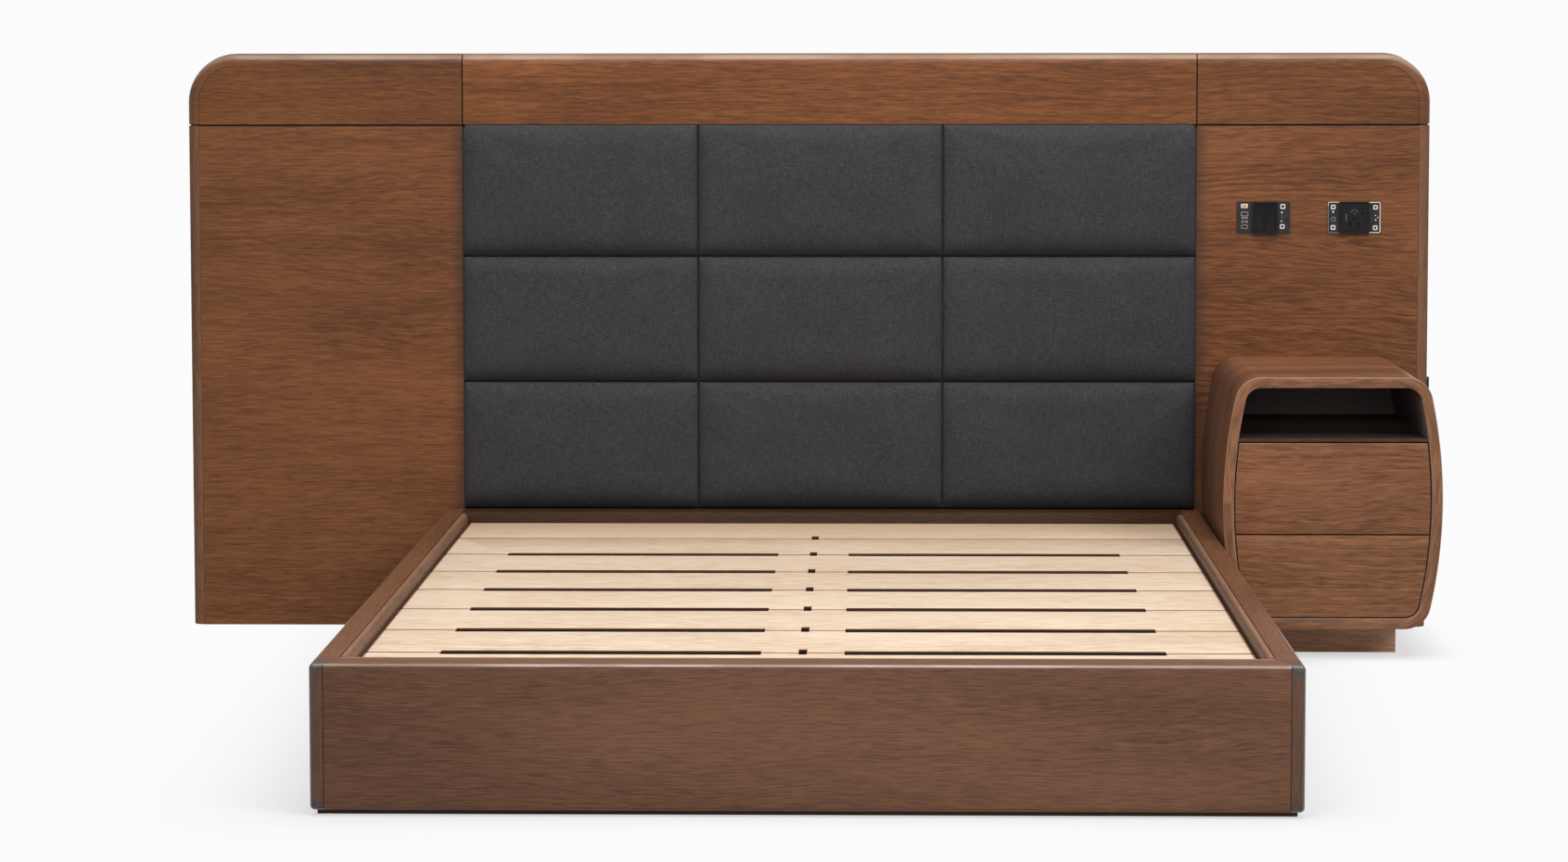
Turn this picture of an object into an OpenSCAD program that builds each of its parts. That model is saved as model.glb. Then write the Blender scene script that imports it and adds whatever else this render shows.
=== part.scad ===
// Platform bed with a wide wing headboard, nine back pads and one attached nightstand.
// Millimetres. X runs to the right seen from the foot end, Y runs towards the wall, Z is up.
// The working origin is on the floor, on the bed's centre line, in the headboard's front face.

/* [Mattress well] */
// Width of the mattress that lies in the well
mattress_w = 1524; // [1200:2:1930]
// Length of the mattress that lies in the well
mattress_l = 2032; // [1600:2:2500]
// Free room on each side of the mattress
well_side_gap = 19; // [8:1:30]
// Free room at each end of the mattress
well_end_gap = 4; // [2:1:20]

/* [Bed frame] */
// Height of the rails' top faces above the floor
rail_top = 260; // [216:1:320]
// Thickness of the side rails
rail_t = 43; // [34:1:60]
// Thickness of the footboard
foot_t = 62; // [50:1:80]
// Radius on the outer edges of the rails, footboard and corners
frame_round = 8; // [5:1:12]
// Width of the corner posts seen from the foot end
post_w = 23; // [18:1:34]
// Width of the fine line between a corner post and the footboard
post_line_w = 1.6; // [0.5:0.1:3]
// Depth of that line
post_line_d = 3; // [1:0.5:4]
// Height of the slate corner caps
corner_cap_h = 14; // [14:1:40]
// Thickness of the head rail, from the headboard to the well
head_rail_t = 70; // [45:1:90]
// Height of the head rail
head_rail_h = 72; // [60:1:100]
// How far the head rail stands above the side rails
head_rail_rise = 2; // [0:0.5:6]
// Width of the moulding along the side rails
side_lip_w = 14; // [10:1:22]
// Width of the moulding along the footboard
foot_lip_w = 28; // [14:1:40]
// Radius on the moulding's inner top edge
lip_round = 11; // [4:1:11]
// Width and depth of the shadow groove behind the moulding
groove = 2; // [1:0.5:4]
// Hairline joint where boards meet in one sub-part, and round what sits in the bent shell
hairline = 0.2; // [0.1:0.1:0.4]

/* [Plinth] */
// Height of the recessed plinth
plinth_h = 10; // [8:1:40]
// Thickness of the plinth boards
plinth_t = 20; // [15:1:25]
// How far the plinth stands back from the side rails
plinth_inset = 10; // [5:1:20]
// How far the plinth stands back from the footboard
plinth_foot_inset = 22; // [10:1:40]

/* [Slat deck] */
// Number of deck boards
board_n = 8; // [6:1:9]
// Thickness of the deck boards
board_t = 18; // [14:1:24]
// How far the deck lies below the rails' top faces
deck_drop = 22; // [15:1:40]
// Open joint between two boards
board_gap = 2.5; // [0.5:0.5:4]
// Chamfer on the boards' top edges at a joint
board_chamfer = 4; // [1:0.5:6]
// Width clipped off a board's corners at a joint, across the bed
board_clip_w = 6; // [2:1:12]
// Length of those clipped corners, along the bed
board_clip_l = 8; // [2:1:20]
// Free room between the board ends and the moulding
board_end_gap = 6; // [3:1:12]
// How much narrower the last board is
closing_cut = 87; // [0:1:120]
// Length of the two air slots at a joint
slot_l = 561; // [300:1:580]
// Width of an air slot, half of it cut from each board
slot_w = 44; // [16:1:60]
// From the deck's middle to the inner end of an air slot
slot_start = 73; // [40:1:90]
// Width of the square notch at the middle of a joint
notch_w = 14.5; // [8:0.5:20]
// Length of the notch, along the bed
notch_l = 60; // [40:1:140]
// How far the notch's middle lies behind the joint
notch_back = 12; // [0:1:16]
// How far the row of notches stands to the left of the bed's centre line
notch_shift = 10; // [0:1:20]
// Width of the ledges under the board ends
ledge_w = 50; // [40:1:70]
// Height of the ledges
ledge_h = 30; // [20:1:40]

/* [Centre beam] */
// Width of the beam under the deck
beam_w = 30; // [24:1:45]
// Height of the beam
beam_h = 70; // [50:1:80]
// Side of the square beam legs
leg_w = 45; // [35:1:60]
// Number of beam legs
leg_n = 3; // [2:1:4]
// Radius of the levelling feet
leg_foot_r = 17; // [12:1:20]
// Height of the levelling feet
leg_foot_h = 20; // [12:1:30]

/* [Corner hardware] */
// Length of each leg of the corner brackets
bracket_l = 64; // [50:1:80]
// Height of the corner brackets
bracket_h = 110; // [80:1:130]
// Thickness of the bracket plate
bracket_t = 4; // [3:0.5:5]
// Height of the brackets' lower edge above the floor
bracket_z = 56; // [40:1:70]
// Shank diameter of the bracket bolts
bolt_d = 8; // [6:1:10]
// Length of the shank inside the wood
bolt_in = 24; // [12:1:26]

/* [Headboard] */
// Height of the headboard
head_h = 1272; // [1020:1:1600]
// Thickness of the headboard
head_t = 60; // [54:1:80]
// Height of the top rail above the joint line
top_rail_h = 156; // [120:1:220]
// How much wider the padded middle bay is than the mattress well
bay_extra = 58; // [0:1:110]
// How far the bay's middle stands to the right of the bed's centre line
bay_shift = 16; // [0:1:20]
// Width of the left wing
left_wing_w = 610; // [300:1:900]
// Width of the right wing, which carries the nightstand
right_wing_w = 514; // [505:1:900]
// Thickness of the wing panels
panel_t = 18; // [15:1:25]
// Width of the solid edge lippings
lipping_w = 26; // [20:1:40]
// Radius of the two top corners
corner_r = 108; // [60:1:118]
// Radius that rounds the front edge along the top and down the sides
edge_round = 26; // [10:1:26]
// Radius on the rear edge
back_round = 6; // [2:1:10]
// Width of the dark joint lines
joint_w = 3; // [2:0.5:5]
// How far the dark joint strips lie below the surface
joint_set_back = 4; // [2:1:6]
// Width of the fine line between a wing panel and its lipping
line_w = 1.2; // [0.5:0.1:3]
// Depth of that line
line_d = 1.5; // [0.5:0.1:3]
// Width of the stiles behind the joints
stile_w = 50; // [40:1:80]
// Height of the ribs behind the wing panels
rib_h = 60; // [40:1:80]
// Thickness of the backer behind the pads
backer_t = 18; // [12:1:18]
// Thickness of the apron below the pads
apron_t = 30; // [18:1:30]

/* [Pads] */
// Width of the left column of pads
pad_left_w = 521; // [300:1:560]
// Width of the middle column of pads
pad_mid_w = 540; // [300:1:560]
// Height of the top row of pads
pad_top_h = 292; // [200:1:320]
// Height of the middle row of pads
pad_mid_h = 278; // [200:1:320]
// Seam between two pads
pad_gap = 2; // [1:0.5:6]
// Room between the pads and the wood round them
pad_edge_gap = 1; // [0.5:0.5:4]
// How far a pad's rim stands in front of the wing panels
pad_rim = 2; // [0:1:10]
// How far the rolled edge rises from the rim
pad_roll_h = 17; // [8:1:30]
// How far the rolled edge reaches in from the rim
pad_roll = 30; // [15:1:60]
// Extra height of the crown in the middle of a pad
pad_crown = 7; // [0:1:15]
// Thickness of the plywood boards behind the pads
pad_board_t = 12; // [9:1:12]
// Margin of the pad boards inside the pads
pad_board_margin = 6; // [3:1:20]

/* [Nightstand shell] */
// Width of the nightstand at its widest
ns_w = 456; // [400:1:470]
// Depth of the nightstand, from the headboard's face
ns_d = 556; // [500:1:680]
// Height of the shell's top face above the floor
ns_top = 604; // [580:1:730]
// Height of the shell's bottom face above the floor
ns_bottom = 77; // [50:1:110]
// Gap between the side rail and the nightstand
ns_gap = 3; // [1:0.5:10]
// Thickness of the bent shell
ns_wall = 23; // [16:1:26]
// Radius of the shell's four corners
ns_corner_r = 55; // [45:1:80]
// Radius of the bowed sides
ns_side_r = 1040; // [800:1:1600]
// Thickness of the nightstand's back
ns_back_t = 12; // [6:1:18]
// Width of the nightstand's plinth
ns_plinth_w = 314; // [250:1:330]
// From the headboard to the front of the nightstand's plinth
ns_plinth_d = 368; // [280:1:450]
// Thickness of the nightstand's plinth boards
ns_plinth_t = 18; // [12:1:25]

/* [Niche and drawers] */
// Height of the niche's opening
niche_h = 105; // [80:1:150]
// Thickness of the shelf under the niche
shelf_t = 18; // [12:1:25]
// Thickness of the shelf's thin front edge
shelf_nose = 7; // [5:1:10]
// Thickness of the drawer fronts
front_t = 20; // [16:1:25]
// How far the drawer fronts lie behind the shell's front edge
front_recess = 2; // [0:0.5:10]
// Gap round the drawer fronts
front_gap = 2.5; // [1.5:0.5:4]
// Height of the lower drawer front
lower_front_h = 171; // [120:1:200]
// Inner width between the two cheeks that carry the runners
cheek_room = 336; // [280:1:350]
// Thickness of the drawer box sides
box_t = 12; // [9:1:16]
// Length of the drawer boxes
box_l = 470; // [380:1:480]
// Height of the upper drawer box
upper_box_h = 150; // [100:1:160]
// Height of the lower drawer box
lower_box_h = 130; // [80:1:135]
// From the lower edge of a drawer front to the bottom of its box
box_lift = 15; // [8:1:20]
// Thickness of the drawer bottoms
bottom_t = 6; // [4:1:9]

/* [Drawer runners] */
// Length of the runners
runner_l = 450; // [350:10:460]
// Height of the outer runner member
runner_h = 45; // [35:1:50]
// Width that a pair of members takes on each side
runner_w = 12.7; // [12:0.1:14]
// Depth of the outer and middle channels
channel_d = 10; // [9:0.5:10.5]
// Sheet thickness of the members
runner_t = 1.2; // [1:0.1:1.5]
// Running clearance between the members
runner_gap = 0.6; // [0.4:0.1:0.8]

/* [Switch and socket] */
// Width of the two device plates
plate_w = 117; // [110:1:125]
// Height of the two device plates
plate_h = 70; // [66:1:86]
// Thickness of the two device plates
plate_t = 2.5; // [2:0.5:4]
// Width of the cut-outs in the wing panel
cutout_w = 100; // [90:1:104]
// Height of the cut-outs in the wing panel
cutout_h = 54; // [50:1:60]
// From the joint line under the caps down to the middle of the devices
device_drop = 206; // [60:1:400]
// From the bay to the middle of the switch
switch_x = 147.5; // [100:0.5:160]
// From the middle of the switch to the middle of the socket
device_pitch = 199.5; // [140:0.5:230]
// How deep the device bodies reach behind the wing's face
device_depth = 44; // [30:1:50]
// How far the raised blocks stand in front of the plates
block_rise = 7; // [5:0.5:10]
// How far the switch's block stands to the right of its plate's middle
switch_block_shift = 3.5; // [0:0.5:5]
// Width of the switch's raised block
switch_block_w = 54; // [50:1:60]
// Width of a rocker bay
bay_room_w = 22; // [20:0.5:24]
// Height of a rocker bay
bay_room_h = 61; // [44:0.5:61]
// Clearance round a rocker
rocker_gap = 0.5; // [0.4:0.1:0.8]
// Tilt of a rocker at each of its two positions, in degrees
rocker_tilt = 4.5; // [3:0.5:6]
// Radius of a rocker's pivot pins
pin_r = 1.5; // [1.2:0.1:2]
// Width of the socket's raised block
socket_block_w = 64; // [56:1:70]
// Height of the raised blocks
block_h = 70; // [66:1:72]
// Length of the dark fitting on the right edge
fitting_l = 43; // [30:1:60]
// Width of the dark fitting
fitting_w = 12; // [8:1:16]
// How far the dark fitting stands out
fitting_t = 5; // [3:0.5:8]
// Height of the dark fitting's middle above the floor
fitting_z = 534; // [300:1:800]

/* [Hidden] */
$fn = 96;
tiny = 0.01;

// Colours as the photograph shows them
WALNUT = "#7a4a30";
WALNUT_DARK = "#5d3a29";
PINE = "#e8cfae";
SLATE = "#41464c";
CLOTH = "#3b3b3d";
BLACK = "#1b1b1d";
STEEL = "#9aa0a6";
PLY = "#c9a878";

// Bed frame, in plan
well_w = mattress_w + 2 * well_side_gap;
well_l = mattress_l + 2 * well_end_gap;
rail_in = well_w / 2 + side_lip_w;
rail_out = rail_in + rail_t;
well_head_y = -head_rail_t;
well_foot_y = well_head_y - well_l;
foot_in_y = well_foot_y - foot_lip_w;
foot_out_y = foot_in_y - foot_t;
post_in = rail_out - post_w;

// Bed frame, in height
rail_h = rail_top - plinth_h;
deck_top = rail_top - deck_drop;
deck_bottom = deck_top - board_t;
ledge_bottom = deck_bottom - ledge_h;
head_rail_top = rail_top + head_rail_rise;
beam_bottom = deck_bottom - beam_h;

// Deck boards
board_pitch = (well_l - 2 * well_end_gap + closing_cut) / board_n;
board_half = well_w / 2 - board_end_gap;
deck_head_y = well_head_y - well_end_gap;
deck_foot_y = well_foot_y + well_end_gap;

// Headboard
bay_w = well_w + bay_extra;
bay_l = bay_shift - bay_w / 2;
bay_r = bay_shift + bay_w / 2;
head_l = bay_l - left_wing_w;
head_r = bay_r + right_wing_w;
joint_z = head_h - top_rail_h;
wing_top = joint_z - joint_w;
backer_y = panel_t + pad_board_t;

// Pad rows and columns: left edge or lower edge, then size
pad_right_w = bay_w - pad_left_w - pad_mid_w;
pad_x = [bay_l, bay_l + pad_left_w, bay_l + pad_left_w + pad_mid_w];
pad_w = [pad_left_w, pad_mid_w, pad_right_w];
pad_floor = head_rail_top + pad_gap;
pad_low_h = joint_z - pad_top_h - pad_mid_h - pad_floor;
pad_z = [pad_floor + pad_low_h + pad_mid_h, pad_floor + pad_low_h, pad_floor];
pad_h = [pad_top_h, pad_mid_h, pad_low_h];

// Nightstand
ns_x = rail_out + ns_gap + ns_w / 2;
ns_mid = (ns_top + ns_bottom) / 2;
ns_half_h = (ns_top - ns_bottom) / 2;
ns_inside = ns_wall + hairline;
ns_side_x = ns_w / 2 - ns_side_r;
ns_corner_z = ns_half_h - ns_corner_r;
ns_corner_x = ns_side_x + sqrt(pow(ns_side_r - ns_corner_r, 2) - pow(ns_corner_z, 2));
ns_corner_a = asin(ns_corner_z / (ns_side_r - ns_corner_r));
shelf_top = ns_top - ns_wall - niche_h;
shelf_bottom = shelf_top - shelf_t;
front_y = -ns_d + front_recess;
box_y = front_y + front_t;
inner_y = box_y + front_gap / 2;
lower_front_z = ns_bottom + ns_wall + front_gap;
upper_front_z = lower_front_z + lower_front_h + front_gap;
upper_front_h = shelf_top - shelf_nose - front_gap - upper_front_z;
runner_y = box_y + front_gap * 2;
box_half = cheek_room / 2 - runner_w;
mid_h = runner_h - 2 * runner_t - 2 * runner_gap;
inner_h = mid_h - 2 * runner_t - 2 * runner_gap;
mid_web = cheek_room / 2 - runner_t - runner_gap;
inner_reach = mid_web - runner_t - runner_gap;

// Switch and socket
device_z = joint_z - device_drop;
switch_cx = bay_r + switch_x;
socket_cx = switch_cx + device_pitch;
bay_pitch = bay_room_w + 3;
block_y = -plate_t - block_rise;
rocker_half_h = bay_room_h / 2 - 1;
pin_l = bay_room_w + 2.4;

// The frame's origin is the middle of the bounding box, on the floor
box_x0 = head_l;
box_x1 = head_r + fitting_t;
origin_x = (box_x0 + box_x1) / 2;
origin_y = (foot_out_y + head_t) / 2;

// ---------- helpers ----------

// Moves the working origin to the middle of the bounding box
module placed() {
  translate([-origin_x, -origin_y, 0])
    children();
}

// A box between two corners
module block(low, high) {
  translate(low)
    cube(high - low);
}

// The same piece on the left and on the right of the bed
module both_sides() {
  children();
  mirror([1, 0, 0])
    children();
}

// Turns an outline drawn in X and Z into a solid from y_front to y_back
module along_y(y_front, y_back) {
  translate([0, y_back, 0])
    rotate([90, 0, 0])
      linear_extrude(y_back - y_front)
        children();
}

// Turns an outline drawn in Y and Z into a solid from x_left to x_right
module along_x(x_left, x_right) {
  translate([x_left, 0, 0])
    rotate([90, 0, 90])
      linear_extrude(x_right - x_left)
        children();
}

// Quarter of a circle
module quarter(r) {
  intersection() {
    circle(r);
    square(r);
  }
}

// A rectangle whose two right-hand corners are rounded
module round_right(w, h, r) {
  square([w - r, h]);
  translate([0, r])
    square([w, h - 2 * r]);
  for (z = [r, h - r])
    translate([w - r, z])
      circle(r);
}

// ---------- headboard ----------

// Cross-section of the headboard's outer edge: X outwards, Y to the rear, rounded at X = len
module edge_section(len, inset = 0) {
  r_front = edge_round - inset;
  r_back = max(back_round - inset, 1);
  reach = len - inset;
  front = inset;
  back = head_t - inset;
  translate([0, front])
    square([reach - r_front, back - front]);
  translate([reach - r_front - tiny, front + r_front])
    square([r_front + tiny - r_back, back - front - r_front]);
  translate([0, front + r_front])
    square([reach, back - r_back - front - r_front]);
  translate([reach - r_front, front + r_front])
    circle(r_front);
  translate([reach - r_back, back - r_back])
    circle(r_back);
}

// The edge section run along the top, from x_right leftwards
module top_run(x_left, x_right, h, inset = 0) {
  translate([x_right, 0, 0])
    rotate([0, -90, 0])
      linear_extrude(x_right - x_left)
        edge_section(h, inset);
}

// The end of the top rail: a straight run, the rounded corner and the stub below it
module cap_end(run) {
  turn = run - corner_r;
  top_run(0, turn, top_rail_h);
  translate([turn, 0, top_rail_h - corner_r])
    rotate([-90, 0, 0])
      rotate([0, 0, -90])
        rotate_extrude(angle = 90)
          edge_section(corner_r);
  translate([turn, 0, 0])
    linear_extrude(top_rail_h - corner_r)
      edge_section(corner_r);
}

module left_cap() {
  run = left_wing_w - joint_w / 2;
  color(WALNUT) placed()
    translate([bay_l - joint_w / 2, 0, joint_z])
      mirror([1, 0, 0])
        cap_end(run);
}

module right_cap() {
  run = right_wing_w - joint_w / 2;
  color(WALNUT) placed()
    translate([bay_r + joint_w / 2, 0, joint_z])
      cap_end(run);
}

module centre_cap() {
  color(WALNUT) placed()
    translate([0, 0, joint_z])
      top_run(bay_l + joint_w / 2, bay_r - joint_w / 2, top_rail_h);
}

// Dark strips in the joint lines, set back from the surface
module joint_strips() {
  color(BLACK) placed() {
    translate([bay_r + joint_w / 2, 0, wing_top])
      linear_extrude(joint_w)
        edge_section(right_wing_w - joint_w / 2, joint_set_back);
    translate([bay_l - joint_w / 2, 0, wing_top])
      mirror([1, 0, 0])
        linear_extrude(joint_w)
          edge_section(left_wing_w - joint_w / 2, joint_set_back);
    for (x = [bay_l, bay_r])
      translate([0, 0, joint_z])
        top_run(x - joint_w / 2, x + joint_w / 2, top_rail_h, joint_set_back);
  }
}

module left_wing_panel() {
  color(WALNUT) placed()
    block([head_l + lipping_w, 0, 0], [bay_l, panel_t, wing_top]);
}

// Opening in the wing panel behind one device
module device_cutout(cx) {
  along_y(-1, panel_t + 1)
    translate([cx, device_z])
      square([cutout_w, cutout_h], center = true);
}

module right_wing_panel() {
  color(WALNUT) placed()
    difference() {
      block([bay_r, 0, 0], [head_r - lipping_w, panel_t, wing_top]);
      device_cutout(switch_cx);
      device_cutout(socket_cx);
    }
}

// Outline of a solid lipping, with the fine line where it meets the panel
module lipping_outline() {
  difference() {
    translate([-edge_round, 0])
      edge_section(lipping_w + edge_round);
    translate([-2 * edge_round, -1])
      square([2 * edge_round, head_t + 2]);
    translate([-1, -1])
      square([1 + line_w, 1 + line_d]);
  }
}

module edge_lippings() {
  color(WALNUT) placed() {
    translate([head_r - lipping_w, 0, 0])
      linear_extrude(wing_top)
        lipping_outline();
    translate([head_l + lipping_w, 0, 0])
      mirror([1, 0, 0])
        linear_extrude(wing_top)
          lipping_outline();
  }
}

// Stiles behind the vertical joints and ribs behind the wing panels
module back_frame() {
  rib_z = [0, (wing_top - rib_h) / 2, wing_top - rib_h];
  color(PLY) placed() {
    block([bay_l - stile_w, panel_t, 0], [bay_l, head_t, wing_top]);
    block([bay_r, panel_t, 0], [bay_r + stile_w, head_t, wing_top]);
    for (z = rib_z) {
      block([head_l + lipping_w, panel_t, z], [bay_l - stile_w - hairline, head_t, z + rib_h]);
      block([bay_r + stile_w + hairline, panel_t, z], [head_r - lipping_w, head_t, z + rib_h]);
    }
  }
}

// The backer meets the pad boards above the head rail, and the apron below
module centre_backer() {
  rear = backer_y + backer_t;
  color(PLY) placed()
    along_x(bay_l, bay_r) {
      translate([backer_y, head_rail_top - tiny])
        square([backer_t, joint_z - head_rail_top + tiny]);
      translate([apron_t, plinth_h])
        square([rear - apron_t, head_rail_top - plinth_h]);
    }
}

module apron() {
  color(WALNUT_DARK) placed()
    difference() {
      block([bay_l, 0, 0], [bay_r, apron_t, head_rail_top]);
      bolt_shanks(bolt_d);
    }
}

// ---------- pads ----------

// Height of the rolled edge at distance d from the rim, from 0 to 1: a quarter circle
function roll(d) = d >= pad_roll ? 1 : sqrt(1 - pow(1 - d / pad_roll, 2));

// Grid lines over one direction of a pad: close together on the rolls, even between them
function pad_lines(size) =
  let (steps = [0, 0.05, 0.2, 0.5, 1])
  concat(
    [for (s = steps) s * pad_roll],
    [for (i = [1:4]) pad_roll + (size - 2 * pad_roll) * i / 5],
    [for (i = [len(steps) - 1:-1:0]) size - steps[i] * pad_roll]
  );

// How far the pad's face stands in front of the wing panels at a point
function pad_face(x, z, w, h) =
  let (u = 2 * x / w - 1, v = 2 * z / h - 1)
  pad_rim
  + pad_roll_h * roll(min(x, w - x)) * roll(min(z, h - z))
  + pad_crown * (1 - u * u) * (1 - v * v);

// Draws the sides in a little towards the corners
function drawn_in(a, half, across) = half + (a - half) * (1 - 0.008 * pow(abs(across), 6));

// One upholstered pad: flat back, straight sides, rolled edges and a crown
module pad_solid(w, h) {
  xs = pad_lines(w);
  zs = pad_lines(h);
  nx = len(xs);
  nz = len(zs);
  face = [for (z = zs, x = xs) [
    drawn_in(x, w / 2, 2 * z / h - 1),
    -pad_face(x, z, w, h),
    drawn_in(z, h / 2, 2 * x / w - 1)
  ]];
  rear = [for (p = face) [p[0], panel_t, p[2]]];
  n = nx * nz;
  ring = concat(
    [for (i = [0:nx - 2]) i],
    [for (j = [0:nz - 2]) j * nx + nx - 1],
    [for (i = [nx - 1:-1:1]) (nz - 1) * nx + i],
    [for (j = [nz - 1:-1:1]) j * nx]
  );
  m = len(ring);
  cells = [for (j = [0:nz - 2], i = [0:nx - 2]) j * nx + i];
  polyhedron(
    points = concat(face, rear),
    faces = concat(
      [for (a = cells) [a, a + nx, a + 1]],
      [for (a = cells) [a + 1, a + nx, a + nx + 1]],
      [for (a = cells) [n + a, n + a + 1, n + a + nx]],
      [for (a = cells) [n + a + 1, n + a + nx + 1, n + a + nx]],
      [for (k = [0:m - 1]) [ring[k], ring[(k + 1) % m], n + ring[k]]],
      [for (k = [0:m - 1]) [ring[(k + 1) % m], n + ring[(k + 1) % m], n + ring[k]]]
    )
  );
}

// Clear margins of pad r, c: a seam inside the bay, an edge gap against the wood
function pad_low_x(c) = pad_x[c - 1] + (c == 1 ? pad_edge_gap : pad_gap / 2);
function pad_high_x(c) = pad_x[c - 1] + pad_w[c - 1] - (c == 3 ? pad_edge_gap : pad_gap / 2);
function pad_low_z(r) = pad_z[r - 1] + (r == 3 ? pad_edge_gap : pad_gap / 2);
function pad_high_z(r) = pad_z[r - 1] + pad_h[r - 1] - (r == 1 ? pad_edge_gap : pad_gap / 2);

module pad(r, c) {
  color(CLOTH) placed()
    translate([pad_low_x(c), 0, pad_low_z(r)])
      pad_solid(pad_high_x(c) - pad_low_x(c), pad_high_z(r) - pad_low_z(r));
}

module pad_boards() {
  g = pad_board_margin;
  color(PLY) placed()
    for (r = [1:3], c = [1:3])
      block([pad_low_x(c) + g, panel_t, pad_low_z(r) + g],
            [pad_high_x(c) - g, backer_y, pad_high_z(r) - g]);
}

// ---------- bed frame ----------

module side_rail() {
  difference() {
    along_y(foot_in_y, 0)
      translate([rail_in, plinth_h])
        round_right(rail_t, rail_h, frame_round);
    bolt_shanks(bolt_d);
  }
}

module right_side_rail() {
  color(WALNUT) placed()
    side_rail();
}

module left_side_rail() {
  color(WALNUT) placed()
    mirror([1, 0, 0])
      side_rail();
}

// Plan of the cap's curved tongue, which runs in over the footboard's end to the moulding
module tongue_plan(grow = 0) {
  run = post_in - rail_in;
  back = foot_out_y + frame_round;
  r = (run * run + pow(foot_t - frame_round, 2)) / (2 * run);
  difference() {
    translate([rail_in - grow, back])
      square([run + 2, foot_t - frame_round + 5 * grow]);
    translate([post_in - r, back])
      circle(r - grow);
  }
}

module footboard() {
  color(WALNUT) placed()
    difference() {
      translate([post_in, foot_in_y, plinth_h])
        rotate([0, -90, 0])
          linear_extrude(2 * post_in)
            rotate(-90)
              round_right(foot_t, rail_h, frame_round);
      both_sides() {
        translate([0, 0, rail_top - corner_cap_h])
          linear_extrude(corner_cap_h + 1)
            tongue_plan(hairline);
        block([post_in - post_line_w, foot_out_y - 1, 0],
              [post_in + 1, foot_out_y + post_line_d, rail_top + 1]);
      }
      bolt_shanks(bolt_d);
    }
}

module head_rail() {
  color(WALNUT_DARK) placed()
    block([-rail_in, -head_rail_t, head_rail_top - head_rail_h], [rail_in, 0, head_rail_top]);
}

// Plan of a corner post, with its outer corner rounded
module post_plan() {
  r = frame_round;
  translate([post_in, foot_out_y + r])
    square([post_w, foot_t - r]);
  translate([post_in, foot_out_y])
    square([post_w - r, foot_t]);
  translate([rail_out - r, foot_out_y + r])
    rotate(-90)
      quarter(r);
}

module corner_posts() {
  low = plinth_h + corner_cap_h;
  color(WALNUT) placed()
    both_sides()
      translate([0, 0, low])
        linear_extrude(rail_top - corner_cap_h - low)
          post_plan();
}

// The rounded top of a corner: rolls along the foot and the side, and a ball between them
module corner_dome() {
  r = frame_round;
  x = rail_out - r;
  y = foot_out_y + r;
  block([post_in, y, 0], [x, foot_in_y, r]);
  translate([x, y, 0])
    rotate([0, 0, -90])
      rotate_extrude(angle = 90)
        quarter(r);
  translate([x, foot_in_y, 0])
    rotate([90, 0, 0])
      linear_extrude(foot_in_y - y)
        quarter(r);
  translate([post_in, y, 0])
    rotate([90, 0, 90])
      linear_extrude(x - post_in)
        mirror([1, 0])
          quarter(r);
}

// One slate cap: a short length of post with the dome on top
module corner_cap() {
  linear_extrude(corner_cap_h - frame_round)
    post_plan();
  translate([0, 0, corner_cap_h - frame_round])
    corner_dome();
}

module corner_caps() {
  color(SLATE) placed()
    both_sides() {
      translate([0, 0, rail_top - corner_cap_h]) {
        corner_cap();
        linear_extrude(corner_cap_h)
          tongue_plan();
      }
      translate([0, 0, plinth_h + corner_cap_h])
        mirror([0, 0, 1])
          corner_cap();
    }
}

// Moulding outline: X from the rail into the well, Y up, with the groove at the rail
module moulding_outline(w, h) {
  r = min(lip_round, w - groove - 1);
  difference() {
    union() {
      square([w, h - r]);
      square([w - r, h]);
      translate([w - r, h - r])
        quarter(r);
    }
    translate([-1, h - groove])
      square([groove + 1, groove + 1]);
  }
}

module rail_mouldings() {
  h = rail_top - 1 - deck_bottom;
  color(WALNUT) placed() {
    both_sides()
      along_y(well_foot_y + hairline, well_head_y)
        translate([rail_in, deck_bottom])
          mirror([1, 0])
            moulding_outline(side_lip_w, h);
    translate([-rail_in, foot_in_y, deck_bottom])
      rotate([90, 0, 90])
        linear_extrude(2 * rail_in)
          moulding_outline(foot_lip_w, h);
  }
}

module plinth_boards() {
  x = rail_out - plinth_inset;
  y = foot_out_y + plinth_foot_inset;
  color(WALNUT_DARK) placed() {
    both_sides()
      block([x - plinth_t, y, 0], [x, 0, plinth_h]);
    block([plinth_t + hairline - x, y, 0], [x - plinth_t - hairline, y + plinth_t, plinth_h]);
  }
}

// ---------- deck ----------

// The joint behind board i + 1, counted from the head
function seam_y(i) = deck_head_y - i * board_pitch;

// The two air slots and the notch that a joint is cut with
module joint_cuts(i) {
  z = [deck_bottom - 1, deck_top + 1];
  far = slot_start + slot_l;
  if (i > 1)
    for (span = [[-far, -slot_start], [slot_start, far]])
      block([span[0] - notch_shift, seam_y(i) - slot_w / 2, z[0]],
            [span[1] - notch_shift, seam_y(i) + slot_w / 2, z[1]]);
  block([-notch_shift - notch_w / 2, seam_y(i) + notch_back - notch_l / 2, z[0]],
        [-notch_shift + notch_w / 2, seam_y(i) + notch_back + notch_l / 2, z[1]]);
}

// A board with a chamfer along its front or rear top edge where that edge lies at a joint
module board_blank(front, back, front_cut, back_cut) {
  translate([-board_half, 0, 0])
    rotate([90, 0, 90])
      linear_extrude(2 * board_half)
        polygon(concat(
          [[back, deck_bottom], [back, deck_top - back_cut]],
          back_cut > 0 ? [[back - back_cut, deck_top]] : [],
          front_cut > 0 ? [[front + front_cut, deck_top]] : [],
          [[front, deck_top - front_cut], [front, deck_bottom]]
        ));
}

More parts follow.
